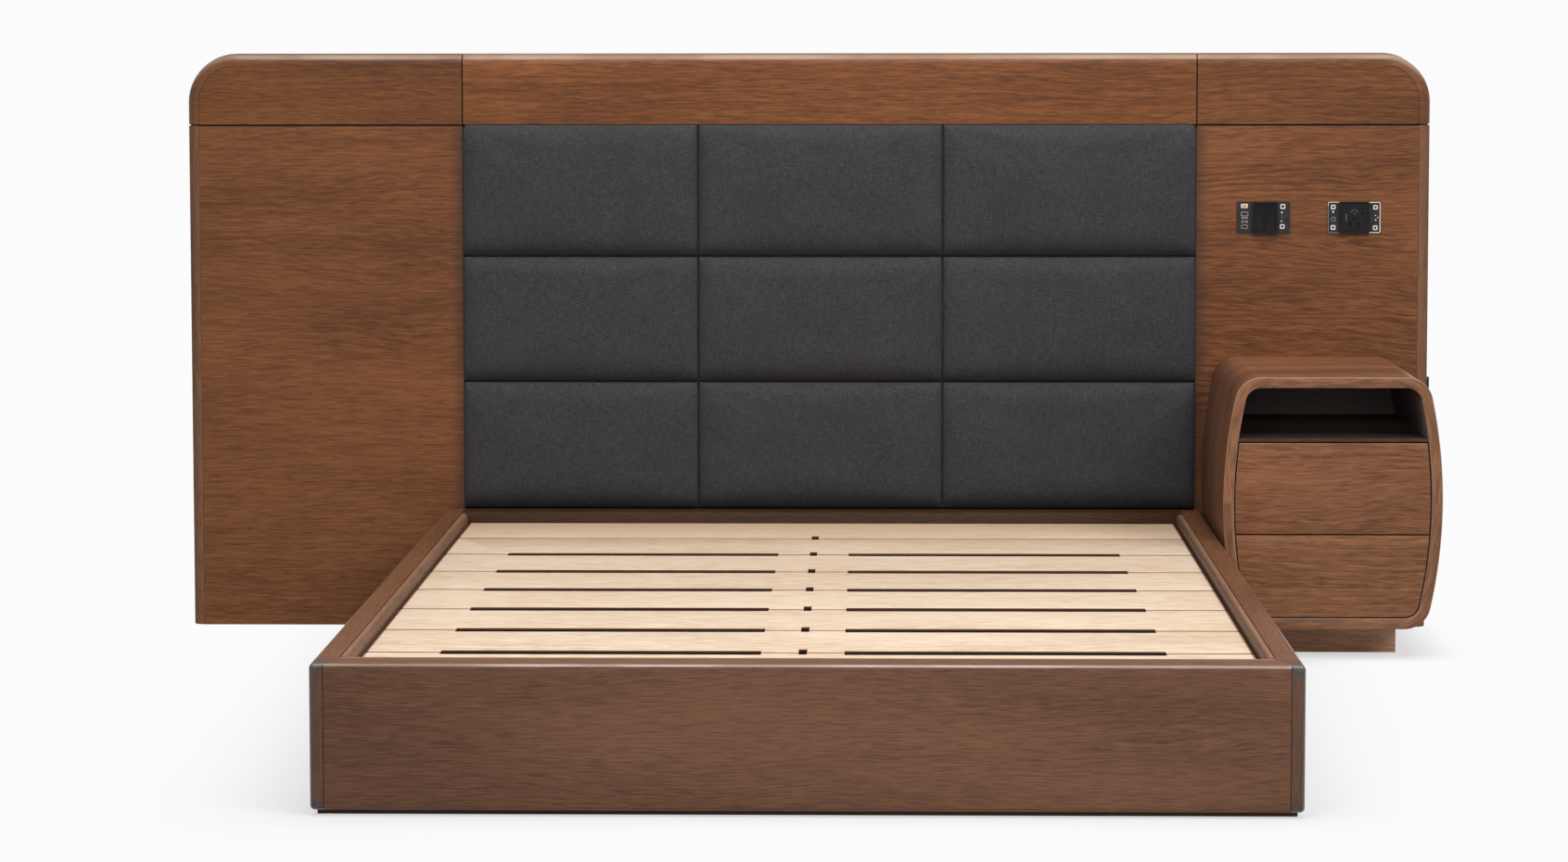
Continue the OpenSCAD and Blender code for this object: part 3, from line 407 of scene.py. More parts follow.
def bay_marks(edge_x, side, below_switch=None):
    """The shade on a wing beside the thick pads and, in a spot of its own, below the switch.

    The top 1 to 3 mm are painted dark, as the shade of the joint line above them.
    """
    reach, spot_w, spot_h = 0.034, 0.040, 0.022

    def marks(net, colour):
        x, _, z = net.place()
        shade = ((x - edge_x) * side).smooth(0.0, reach, 0.52, 0.0)
        shade = shade.math("MAXIMUM", z.smooth(WING_TOP - 0.0026, WING_TOP - 0.0012, 0.0, 0.95))
        if below_switch:
            across, up = (x - below_switch[0]) / spot_w, (z - below_switch[1]) / spot_h
            shade = shade.math("MAXIMUM", (across * across + up * up).smooth(0.2, 1.0, 0.50, 0.0))
        return net.mix(shade, colour, (0.028, 0.0190, 0.0150))

    return marks


# The headboard's ends from the bed's middle, its height, the radius of its top corners and the
# width of the solid edge round them
HEAD_LEFT, HEAD_RIGHT, HEAD_TOP, CORNER_R, EDGE_W = -1.404, 1.340, 1.272, 0.108, 0.026
# Height of the corners' middles, and radius of the fine line on the inner side of the solid edge
ARC_Z, ARC_R = HEAD_TOP - CORNER_R, CORNER_R - EDGE_W


def arc_marks(middle_x, side):
    """A fine dark line round the bent corner of a cap, on the front face, and a paler edge outside it."""

    def marks(net, colour):
        x, y, z = net.place()
        across, up = (x - middle_x) * side, z - ARC_Z
        over = up.math("MAXIMUM", 0.0)
        out = across.math("MAXIMUM", 0.0)
        away = (out * out + over * over).math("SQRT") - ARC_R
        line = 1.0 - away.size().smooth(0.0004, 0.0011)
        line = line * across.smooth(0.0, 0.030) * (1.0 - y.above(FACE_Y + 0.012))
        edge = away.smooth(0.0, 0.004)
        colour = net.mix(edge * across.smooth(0.0, 0.040) * 0.22, colour, WALNUT_EDGE[1])
        return net.mix(line * 0.65, colour, (0.020, 0.010, 0.006))

    return marks


# ---- other finishes


def corner_finish(name, lay, seed, colours):
    """Foot corners: walnut, slate lacquer thinning out from both ends, and a painted grey reflection down
    the outer arris.
    """
    net = Net(name)
    tone, pore, fibre = figure(net, lay, seed, 0.4)
    dark, body, light = colours
    timber = net.ramp(tone + 0.5, ((0.20, dark), (0.50, body), (0.80, light)))
    _, _, z = net.place()
    nx, ny, nz = (part.size() for part in net.facing())
    mottle = net.mottle(150.0, 3.0)
    patchy = (mottle - 0.5) * 0.030
    # heights between which the lacquer thins out, below the upper cap and above the lower one
    upper_from, upper_to, lower_from, lower_to, half_way = 0.234, 0.254, 0.014, 0.034, 0.2
    upper = (z + patchy).smooth(upper_from, upper_to)
    ends = upper.math("MAXIMUM", 1.0 - (z + patchy).smooth(lower_from, lower_to))
    # painted reflection: the outer arrises take the lacquer's grey
    arris = nx.math("MINIMUM", ny).smooth(0.20, 0.60) * 0.75
    top = nz.smooth(0.72, 0.95) * z.above(half_way)
    amount = ends.math("MAXIMUM", arris) * (1.0 - top * 0.80) * mottle.smooth(0.30, 0.55, 0.72, 1.0)
    lacquer = net.ramp(mottle, ((0.32, (0.022, 0.023, 0.026)), (0.68, (0.060, 0.064, 0.070))))
    rim = net.rim()
    return net.finish(
        Base_Color=net.mix(amount, timber, lacquer),
        Roughness=amount * -0.12 + 0.46,
        Specular_IOR_Level=0.3,
        Coat_Weight=rim * 0.8,
        Coat_Roughness=0.20,
        Normal=net.bump(fibre - pore, 0.0001, 0.5),
    )


def black_plastic(name, pale=1.0):
    """Matt black moulded plastic with a fine spark-eroded texture."""
    net = Net(name)
    _, y, _ = net.place()
    grain, dust = net.mottle(1800.0), net.mottle(90.0)
    dark = (0.019 * pale, 0.0185 * pale, 0.0195 * pale)
    light = (0.036 * pale, 0.0355 * pale, 0.0375 * pale)
    # raised blocks are blacker than the plates, and edges are lighter grey
    stands_out = 1.0 - y.smooth(FACE_Y - 0.0085, FACE_Y - 0.0035)
    colour = net.mix(stands_out * 0.8, net.mix(dust, dark, light), (0.0065, 0.0055, 0.0055))
    colour = net.mix(net.rim() * 0.7, colour, (0.060, 0.060, 0.064))
    return net.finish(
        Base_Color=colour,
        Roughness=grain * 0.2 + 0.46,
        Specular_IOR_Level=0.10,
        Normal=net.bump(grain, 0.00006, 0.5),
    )


def steel(name, tint=(0.56, 0.57, 0.59)):
    """Zinc plated steel: faint drawn lines and blotches."""
    net = Net(name)
    x, y, z = net.place()
    drawn = net.noise(x * 40.0, y * 6.0, z * 900.0)
    blotch = net.mottle(35.0)
    return net.finish(
        Base_Color=net.mix(blotch, tuple(0.75 * c for c in tint), tint),
        Metallic=1.0,
        Roughness=drawn * 0.18 + blotch * 0.14 + 0.22,
        Normal=net.bump(drawn, 0.00005, 0.4),
    )


def cloth():
    """Charcoal plain weave, drawn on the pad's own surface coordinates in metres.

    Two families of yarns cross at right angles and take turns on top, as the parity of their
    cell says; each yarn has its own tone, and slubs run along it. The attribute seam holds a point's
    distances from the sides, the foot and the top. Painted shade darkens the cover towards the sides and
    the foot and most right at the seams, and painted light makes it a little paler along the top.
    """
    net = Net("charcoal_weave")
    u, v, _ = net.uv()
    yarn = 0.0015
    across, up = u / yarn, v / yarn
    row, column = across.math("FLOOR"), up.math("FLOOR")
    parity = (row + column).math("FLOORED_MODULO", 2.0)
    warp = (across.math("FRACT") * math.pi).math("SINE")
    weft = (up.math("FRACT") * math.pi).math("SINE")
    warp_tone = net.noise(row * 7.31, v * 60.0)
    weft_tone = net.noise(column * 5.17, u * 60.0, 9.0)
    tone = warp_tone * parity + weft_tone * (1.0 - parity)
    height = warp * parity + weft * (1.0 - parity)
    felt = net.noise(u * 8.0, v * 8.0)
    speck = net.noise(u * 240.0, v * 240.0, 3.0)
    shade = tone * 0.62 + height * 0.13 + felt * 0.08 + speck * 0.17
    stops = (
        (0.34, (0.0145, 0.0142, 0.0156)), (0.50, (0.0304, 0.0297, 0.0324)), (0.66, (0.0595, 0.0587, 0.0636)),
    )
    colour = net.ramp(shade, stops)
    side, low, top = net.parts(net.add("ShaderNodeAttribute", {"attribute_name": "seam"}, {}, "Vector"))
    # painted shade towards the sides and the foot and at the seams, painted light along the top
    seam_shade = (low / 0.042).smooth(-0.9, 1.0, -0.45, 1.0) * (side / 0.007).smooth(-0.7, 1.0, 0.30, 1.0)
    core = side.math("MINIMUM", low).math("MINIMUM", top * 1.6).smooth(0.0004, 0.0020, 0.10, 1.0)
    lit = top.smooth(0.0, 0.055, 1.10, 1.0)
    colour = net.mix(1.0, colour, net.vector(*[seam_shade.clip() * core * lit] * 3), "MULTIPLY")
    return net.finish(
        Base_Color=colour,
        Roughness=0.92,
        Specular_IOR_Level=0.25,
        Sheen_Weight=0.12,
        Sheen_Roughness=0.45,
        Normal=net.bump(height * 0.7 + tone * 0.3, 0.0003, 0.55),
    )


def plywood(name, lay, seed):
    """Sanded birch plywood. The plies on its cut edges aren't drawn."""
    return wood(name, lay, seed, BIRCH, wave=0.8, rough=0.62, level=0.2, pores=0.15)


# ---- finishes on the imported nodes


def dress(names, material):
    """Puts one material in every slot of the named nodes, whose names stand in one string."""
    for name in names.split():
        slots = nodes[name].data.materials
        if len(slots):
            for i in range(len(slots)):
                slots[i] = material
        else:
            slots.append(material)


def clad(names, *board, **finish):
    """Dresses the named nodes in wood, which takes all that follows their names."""
    dress(names, wood(*board, **finish))


# Painted highlight on the upward arrises of the thick top edge
TOP_EDGE = {"arris": 0.75, "rubbed": (0.430, 0.3000, 0.2100), "tilt": (0.25, 0.75)}

LEFT_ARC_X = HEAD_LEFT + CORNER_R + BED_X
RIGHT_ARC_X = HEAD_RIGHT - CORNER_R + BED_X
# The middle of the shade below the switch, in X and Z
BELOW_SWITCH = (0.978 + BED_X, 0.872)
# Nearer the foot than this, the mouldings and the plinth boards run across the bed
MOULDING_TURN_Y, PLINTH_TURN_Y = -1.060, -1.080

clad(
    "left_wing_panel", "walnut_left_wing", "X", 1.3, WALNUT,
    knots=((-0.95, 0.763, 0.020, 5.0), (-0.868, 0.630, 0.024, 5.0)),
    marks=bay_marks(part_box("left_wing_panel")[1].x, -1.0),
)
clad(
    "right_wing_panel", "walnut_right_wing", "X", 2.1, WALNUT, wave=1.5, depth=1.3, rings=0.30,
    knots=((1.2125, 0.995, 0.012, 2.5), (1.2645, 0.838, 0.026, 6.0), (1.10, 0.700, 0.022, 8.0)),
    marks=bay_marks(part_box("right_wing_panel")[0].x, 1.0, BELOW_SWITCH),
)
clad(
    "left_cap", "walnut_left_cap", "X", 3.7, WALNUT_SIDE_CAP,
    marks=arc_marks(LEFT_ARC_X, -1.0), **TOP_EDGE,
)
clad("centre_cap", "walnut_centre_cap", "X", 4.2, WALNUT_CAP, wave=0.7, depth=1.1, rings=0.14, **TOP_EDGE)
clad(
    "right_cap", "walnut_right_cap", "X", 5.9, WALNUT_SIDE_CAP, depth=1.2, rings=0.20,
    marks=arc_marks(RIGHT_ARC_X, 1.0), **TOP_EDGE,
)
clad(
    "edge_lippings", "walnut_lipping", "Z", 6.4, WALNUT_EDGE, wave=0.4, depth=0.7,
    rough=0.62, level=0.05, polish=0.0, arris=0.0,
)
clad("left_side_rail right_side_rail", "walnut_rail", "Y", 7.7, WALNUT_RAIL, wave=0.6, depth=0.9)
# The footboard's upper arrises carry a strong painted highlight
clad(
    "footboard", "walnut_footboard", "X", 9.6, WALNUT_FOOT, wave=0.8, polish=1.0, arris=0.9,
    rubbed=(0.330, 0.2450, 0.2000), knots=((0.62, 0.115, 0.018, 9.0),),
)
# The head rail and apron are a much darker walnut, as painted shade under the pads
clad("head_rail apron", "walnut_head_rail", "X", 10.2, WALNUT_DARK, wave=0.4)
clad(
    "rail_mouldings", "walnut_moulding", along_frame(MOULDING_TURN_Y), 11.5, MOULDING, wave=0.3, depth=0.7,
    arris=0.0, polish=0.3, marks=moulding_marks,
)
dress("corner_posts", corner_finish("walnut_post", "Z", 12.1, WALNUT_CORNER))
dress("corner_caps", corner_finish("slate_corner", "Y", 7.7, WALNUT_CORNER))
clad("plinth_boards", "walnut_plinth", along_frame(PLINTH_TURN_Y), 13.4, WALNUT_FOOTING, wave=0.4)
# The shell's arrises and the drawer fronts' upper arrises carry pale painted highlights
clad(
    "nightstand_shell", "walnut_shell", along_shell, 14.8, WALNUT_WARM, wave=0.7, depth=1.5, rings=0.25,
    sweeps=0.75, arris=1.0, rubbed=(1.00, 0.780, 0.600), marks=niche_marks, bent=True,
)
clad(
    "niche_shelf", "walnut_shelf", "X", 15.3, WALNUT_CORNER,
    rough=0.9, level=0.0, polish=0.0, marks=shelf_marks,
)
clad("nightstand_back", "niche_stain", "X", 16.6, STAIN, rough=0.6)
clad("nightstand_plinth", "walnut_base", "X", 17.2, WALNUT_BASE, wave=0.6)
clad(
    "upper_drawer_front", "walnut_upper_front", "X", 18.9, WALNUT_WARM, wave=1.4, depth=1.2, rings=0.30,
    arris=1.0, rubbed=(0.85, 0.620, 0.460), knots=((0.965, 0.415, 0.022, 5.5),),
)
clad(
    "lower_drawer_front", "walnut_lower_front", "X", 19.4, WALNUT_LOWER, wave=0.9, depth=1.15, rings=0.18,
    arris=0.7, rubbed=(0.50, 0.330, 0.230),
)
BOARDS = range(1, 9)
for i in BOARDS:
    clad(
        f"deck_board_{i}", f"pine_board_{i}", "X", 20.0 + 1.7 * i, PINE, wave=0.5, depth=1.25, rings=0.08,
        rough=0.58, level=0.2, pores=0.05, polish=0.0, arris=0.0, marks=pine_marks,
    )
for name, way, seed in (("deck_ledges", "Y", 41.3), ("centre_beam", "Y", 42.8), ("beam_legs", "Z", 43.1)):
    clad(name, "pine_" + name, way, seed, PINE, wave=0.5, rough=0.6, pores=0.1, polish=0.0, arris=0.0)
dress("back_frame pad_boards", plywood("birch_frame", "X", 44.5))
dress("centre_backer", plywood("birch_backer", "X", 47.1))
dress("runner_cheeks", plywood("birch_cheek", "Y", 45.9))
dress("upper_drawer_box lower_drawer_box", plywood("birch_box", "Y", 46.2))
dress("joint_strips", black_plastic("black_strip", 0.10))
dress("edge_fitting", black_plastic("black_fitting", 0.8))
dress("switch_module socket_module", black_plastic("black_module", 1.0))
dress("left_rocker right_rocker", black_plastic("black_rocker", 0.7))
dress("outer_runners upper_middle_runners lower_middle_runners", steel("zinc_runner"))
dress("upper_drawer_runners lower_drawer_runners", steel("zinc_inner_runner"))
dress("corner_brackets", steel("zinc_bracket"))
dress("bracket_bolts", steel("zinc_bolt", (0.50, 0.50, 0.52)))


# ---- softened arrises


def shade_by_angle(limit_deg):
    """A node group that shades faces smooth and keeps edges sharper than the limit sharp."""
    group = bpy.data.node_groups.new(f"smooth_by_{limit_deg}", "GeometryNodeTree")
    group.interface.new_socket("Geometry", in_out="INPUT", socket_type="NodeSocketGeometry")
    group.interface.new_socket("Geometry", in_out="OUTPUT", socket_type="NodeSocketGeometry")
    start = group.nodes.new("NodeGroupInput")
    end = group.nodes.new("NodeGroupOutput")
    faces = group.nodes.new("GeometryNodeSetShadeSmooth")
    faces.domain = "FACE"
    angle = group.nodes.new("GeometryNodeInputMeshEdgeAngle")
    sharp = group.nodes.new("FunctionNodeCompare")
    sharp.data_type, sharp.operation = "FLOAT", "GREATER_THAN"
    sharp.inputs[1].default_value = math.radians(limit_deg)
    edges = group.nodes.new("GeometryNodeSetShadeSmooth")
    edges.domain = "EDGE"
    edges.inputs["Shade Smooth"].default_value = False
    link = group.links.new
    link(start.outputs[0], faces.inputs["Geometry"])
    link(faces.outputs[0], edges.inputs["Geometry"])
    link(angle.outputs[0], sharp.inputs[0])
    link(sharp.outputs[0], edges.inputs["Selection"])
    link(edges.outputs[0], end.inputs[0])
    return group


SMOOTH = shade_by_angle(32)


def soften(names, width):
    """Joins a node's loose triangles, breaks its sharp edges by width metres and smooths its curves."""
    join_m, sharp_deg = 1e-6, 40
    for name in names.split():
        piece = nodes[name]
        weld = piece.modifiers.new("join", "WELD")
        weld.merge_threshold = join_m
        if width:
            arris = piece.modifiers.new("arris", "BEVEL")
            arris.width, arris.segments = width, 2
            arris.limit_method, arris.angle_limit = "ANGLE", math.radians(sharp_deg)
            arris.use_clamp_overlap = True
        smooth = piece.modifiers.new("smooth", "NODES")
        smooth.node_group = SMOOTH


soften("left_side_rail right_side_rail footboard head_rail plinth_boards", 0.0010)
soften(" ".join(f"deck_board_{i}" for i in BOARDS), 0.0006)
soften("nightstand_shell", 0.0032)
soften("upper_drawer_front lower_drawer_front", 0.0024)
soften("niche_shelf nightstand_plinth", 0.0008)
# these have the roundings that they need in their own shape
soften("left_wing_panel right_wing_panel edge_lippings left_cap centre_cap right_cap", 0.0)
soften("corner_posts corner_caps rail_mouldings edge_fitting", 0.0)
soften("switch_module socket_module left_rocker right_rocker bracket_bolts beam_legs", 0.0)


# ---- padded panels

# From the back of a pad to the face of the wings
PAD_BEHIND = 0.018


def pad_surface(low, high, corners):
    """Front of one upholstered pad as a grid.

    Depth = rim + rise * roll * roll + crown * (1 - u2)(1 - v2), a roll being the quarter ellipse
    sqrt(1 - (1 - d / reach)2) over the distance d from an edge. The cloth falls away further along
    the lower edge than along the upper one and the sides. A corner is turned by mapping its square
    to a quarter disc, p' = p sqrt(1 - q2 / 2).
    """
    w, h = high.x - low.x, high.z - low.z
    side, top, foot = 0.036, 0.050, 0.078
    roll_lines, flat_columns, flat_rows = 17, 48, 22

    def lines(size, first, last, count):
        ease = 1 - np.cos(np.linspace(0, math.pi / 2, roll_lines))
        middle = np.linspace(first, size - last, count)
        return np.concatenate([first * ease[:-1], middle, size - last * ease[:-1][::-1]])

    xs, zs = np.meshgrid(lines(w, side, side, flat_columns), lines(h, foot, top, flat_rows))
    u, v = 2 * xs / w - 1, 2 * zs / h - 1

    def roll(d, reach):
        return np.sqrt(1 - (1 - np.clip(d / reach, 0, 1)) ** 2)

    rim, rise, fullness, ripple = 0.002, 0.018, 0.85, 0.0003
    crown = (high.y - low.y) - PAD_BEHIND - rim - rise
    shape = roll(np.minimum(xs, w - xs), side) * roll(h - zs, top) * roll(zs, foot)
    waves = ((13.0, 9.0), (-21.0, 17.0), (37.0, 25.0))
    slack = sum(np.sin(xs * k + zs * m + rng.random() * 6.3) for k, m in waves)
    depth = rim + rise * shape + (crown * fullness + slack * ripple) * (1 - u * u) * (1 - v * v)
    distances = np.stack([np.minimum(xs, w - xs), zs, h - zs], axis=-1)
    left, upper = xs < w / 2, zs > h / 2
    radius = np.where(upper, np.where(left, corners[0], corners[1]), np.where(left, corners[2], corners[3]))
    p = np.clip((np.abs(xs - w / 2) - (w / 2 - radius)) / radius, 0, 1)
    q = np.clip((np.abs(zs - h / 2) - (h / 2 - radius)) / radius, 0, 1)
    turned_x = w / 2 - radius + p * np.sqrt(1 - q * q / 2) * radius
    turned_z = h / 2 - radius + q * np.sqrt(1 - p * p / 2) * radius
    xs = np.where(p > 0, w / 2 + np.where(left, -1, 1) * turned_x, xs)
    zs = np.where(q > 0, h / 2 + np.where(upper, 1, -1) * turned_z, zs)
    points = np.stack([low.x + xs, high.y - PAD_BEHIND - depth, low.z + zs], axis=-1)
    return points, distances


def grid_faces(rows, columns):
    """Quads of a grid of points stored row by row."""
    i = np.arange(rows * columns).reshape(rows, columns)
    return np.stack([i[:-1, :-1], i[:-1, 1:], i[1:, 1:], i[1:, :-1]], axis=-1).reshape(-1, 4)


def make_piece(name, points, faces, material, uv=None, smooth=True):
    """One mesh object from arrays of points and faces, with an optional UV per point."""
    mesh = bpy.data.meshes.new(name)
    mesh.from_pydata([tuple(p) for p in np.asarray(points, float)], [], [list(map(int, f)) for f in faces])
    mesh.update()
    if uv is not None:
        layer = mesh.uv_layers.new(name="surface")
        index = np.zeros(len(mesh.loops), int)
        mesh.loops.foreach_get("vertex_index", index)
        layer.data.foreach_set("uv", np.asarray(uv, np.float32)[index].ravel())
    mesh.polygons.foreach_set("use_smooth", [smooth] * len(mesh.polygons))
    mesh.materials.append(material)
    piece = bpy.data.objects.new(name, mesh)
    bpy.context.scene.collection.objects.link(piece)
    return piece


def lengths(points, axis):
    """Running length along one direction of a grid of points."""
    step = np.linalg.norm(np.diff(points, axis=axis), axis=-1)
    start = np.zeros_like(np.take(step, [0], axis=axis))
    return np.cumsum(np.concatenate([start, step], axis=axis), axis=axis)


CLOTH = cloth()


def pad(name, corners):
    """A pad with a crowned front, wrapped sides and a flat back, closed, and the points held in puff."""
    low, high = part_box(name)
    # the radius of the corners: upper left, upper right, lower left, lower right
    front, distances = pad_surface(low, high, corners)
    rows, columns, _ = front.shape
    centre = (np.array(low) + np.array(high)) / 2
    u, v = lengths(front, 1), lengths(front, 0)
    u, v = u - u[:, [columns // 2]], v - v[[rows // 2], :]
    points = front.reshape(-1, 3)
    uv = np.stack([u, v], axis=-1).reshape(-1, 2) + rng.random(2)
    faces = [tuple(f) for f in grid_faces(rows, columns)]
    i = np.arange(rows * columns).reshape(rows, columns)
    ring = np.concatenate([i[0, :-1], i[:-1, -1], i[-1, :0:-1], i[:0:-1, 0]])
    n, m = len(points), len(ring)
    rear = points[ring].copy()
    side = rear[:, 1].copy()
    rear[:, 1] = high.y
    # the wrapped side goes on in the surface coordinates of the edge it leaves
    near_edge = 0.012
    out = points[ring][:, [0, 2]] - centre[[0, 2]]
    half = np.array([high.x - low.x, high.z - low.z]) / 2
    away = np.sign(out) * (np.abs(out) > half - near_edge)
    rear_uv = uv[ring] + away * (high.y - side)[:, None]
    last = n + m
    faces += [(ring[k], n + k, n + (k + 1) % m, ring[(k + 1) % m]) for k in range(m)]
    faces += [(n + k, last, n + (k + 1) % m) for k in range(m)]
    points = np.concatenate([points, rear, [[centre[0], high.y, centre[2]]]])
    uv = np.concatenate([uv, rear_uv, [[0.0, 0.0]]])
    piece = make_piece(name.replace("pad_", "padded_panel_"), points, faces, CLOTH, uv)
    seam = np.zeros((len(points), 3), np.float32)
    seam[:n] = distances.reshape(-1, 3)
    piece.data.attributes.new("seam", "FLOAT_VECTOR", "POINT").data.foreach_set("vector", seam.ravel())
    held = [int(k) for k in ring] + list(range(n, last + 1))
    return piece, held


def puff(covers, frames=20, pressure=2.0, cap=0.005):
    """Blows the pads' covers up from behind as simulated cloth, held along their edges and backs.

    A point moves by its simulated way, shortened to the cap, and never past the room of its pad.
    """
    scene = bpy.context.scene
    for piece, held, _ in covers:
        group = piece.vertex_groups.new(name="held")
        group.add(held, 1.0, "REPLACE")
        cover = piece.modifiers.new("cover", "CLOTH")
        cover.settings.vertex_group_mass = "held"
        cover.settings.mass = 0.3
        cover.settings.tension_stiffness = cover.settings.compression_stiffness = 40.0
        cover.settings.shear_stiffness = 30.0
        cover.settings.bending_stiffness = 20.0
        cover.settings.use_pressure = True
        cover.settings.uniform_pressure_force = pressure
        cover.settings.effector_weights.gravity = 0.0
        cover.collision_settings.use_collision = False
        cover.point_cache.frame_start, cover.point_cache.frame_end = 1, frames
    for frame_no in range(1, frames + 1):
        scene.frame_set(frame_no)
    graph = bpy.context.evaluated_depsgraph_get()
    for piece, _, front in covers:
        count = len(piece.data.vertices)
        start, end = np.zeros(count * 3), np.zeros(count * 3)
        piece.data.vertices.foreach_get("co", start)
        piece.evaluated_get(graph).data.vertices.foreach_get("co", end)
        start, end = start.reshape(-1, 3), end.reshape(-1, 3)
        move = end - start
        size = np.linalg.norm(move, axis=1, keepdims=True)
        move = move * np.minimum(1.0, cap / np.maximum(size, 1e-9))
        end = start + move
        end[:, 1] = np.maximum(end[:, 1], front)
        piece.modifiers.clear()
        piece.vertex_groups.clear()
        piece.data.vertices.foreach_set("co", end.ravel())
        piece.data.update()
    scene.frame_set(1)


# Radius of the bay's two upper corners and of all other pad corners
ROUND, TIGHT = 0.014, 0.003
# How far a blown up cover may stand in front of its packed pad
COVER_ROOM = 0.003
PADS = [(r, c) for r in (1, 2, 3) for c in (1, 2, 3)]

covers = []
for r, c in PADS:
    name = f"pad_r{r}c{c}"
    upper_left, upper_right = (ROUND if (r, c) == (1, end) else TIGHT for end in (1, 3))
    piece, held = pad(name, (upper_left, upper_right, TIGHT, TIGHT))
    covers.append((piece, held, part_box(name)[0].y - COVER_ROOM))
puff(covers)
for (r, c), (piece, _, _) in zip(PADS, covers):
    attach(piece, "base")
    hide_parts(f"pad_r{r}c{c}")


# ---- small marks on the devices


def paint(name, light):
    """Printed marks: one colour, a little uneven."""
    net = Net(name)
    wear = net.mottle(900.0)
    worn = tuple(0.75 * c for c in light)
    return net.finish(Base_Color=net.mix(wear, worn, light), Roughness=wear * 0.1 + 0.45)


def ribbon(path, width, closed=False):
    """Left and right edges of a flat ribbon of that width along a path in the plane."""
    path = np.array(path, float)
    ahead, behind = np.roll(path, -1, 0) - path, path - np.roll(path, 1, 0)
    if not closed:
        ahead[-1], behind[0] = behind[-1], ahead[0]
    ahead, behind = (d / np.linalg.norm(d, axis=1, keepdims=True) for d in (ahead, behind))
    normal = (ahead + behind)[:, ::-1] * (-1, 1)
    normal /= np.linalg.norm(normal, axis=1, keepdims=True)
    reach = width / 2 / np.maximum(0.5, (normal * ahead[:, ::-1] * (-1, 1)).sum(1))[:, None]
    return path + normal * reach, path - normal * reach


def rounded(x, y, w, h, r, steps=4):
    """Outline of a rounded rectangle about x, y."""
    outline = []
    for i, j, quarter in ((1, 1, 0), (-1, 1, 1), (-1, -1, 2), (1, -1, 3)):
        corner_x, corner_y = x + i * (w / 2 - r), y + j * (h / 2 - r)
        for turn in np.linspace(0, math.pi / 2, steps) + quarter * math.pi / 2:
            outline.append((corner_x + r * math.cos(turn), corner_y + r * math.sin(turn)))
    return outline


def raised(shapes, back, front):
    """Points and faces of filled outlines and ribbons, given thickness between two depths."""
    points, faces = [], []
    for kind, *shape in shapes:
        start = sum(len(p) for p in points)
        if kind == "fill":
            loop = np.array(shape[0], float)
            n = len(loop)
            points += [np.insert(loop, 1, front, 1), np.insert(loop, 1, back, 1)]
            faces += [tuple(start + np.arange(n)[::-1]), tuple(start + n + np.arange(n))]
            for k in range(n):
                a, b = start + k, start + (k + 1) % n
                faces.append((a, b, b + n, a + n))
            continue
        path, width, closed = shape
        left, right = ribbon(path, width, closed)
        n = len(left)
        points += [np.insert(side, 1, depth, 1) for depth in (front, back) for side in (left, right)]
        for k in range(n if closed else n - 1):
            a, b = start + k, start + (k + 1) % n
            faces += [(a, b, b + n, a + n), (a + 2 * n, a + 3 * n, b + 3 * n, b + 2 * n)]
            faces += [(a, a + 2 * n, b + 2 * n, b), (a + n, b + n, b + 3 * n, a + 3 * n)]
        if not closed:
            for k, flip in ((start, 1), (start + n - 1, -1)):
                faces.append((k, k + n, k + 3 * n, k + 2 * n)[::flip])
    return np.concatenate(points), faces


# Left edges, top edge and face of the device plates and face of their blocks, in the millimetres of spot
SWITCH_X, SOCKET_X, PLATES_TOP, PLATE_FACE, BLOCK_FACE = 915.0, 1114.5, 945.0, -2.5, -8.0
# How deep a mark's back lies in the plate, and how far its face stands out
SUNK, PROUD = 0.05, -0.35


def device_mark(name, left_x, material, shapes, face=PLATE_FACE):
    """Marks measured in millimetres from a plate's upper left corner, right and down."""
    points, faces = raised(shapes, SUNK, PROUD)
    where = np.stack([left_x + points[:, 0], face + points[:, 1], PLATES_TOP - points[:, 2]], axis=1)
    piece = make_piece(name, where / 1000 + (BED_X, FACE_Y, 0.0), faces, material, smooth=False)
    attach(piece, "base")


def arc(x, y, r, first, last, steps=9):
    """Points on a circle between two angles in degrees."""
    turns = [math.radians(t) for t in np.linspace(first, last, steps)]
    return [(x + r * math.cos(t), y + r * math.sin(t)) for t in turns]


def bar(x, y, w, h, r):
    return ("fill", rounded(x, y, w, h, r))


def frame_line(x, y, w, h, r, line):
    return ("line", rounded(x, y, w, h, r), line, True)


def square(x, y, size, line):
    return frame_line(x, y, size - line, size - line, 1.3, line)


def ring(x, y, r):
    return ("line", arc(x, y, r, 0, 330, 12), 1.2, True)


def dot(x, y, r):
    return ("fill", arc(x, y, r, 0, 315, 8))


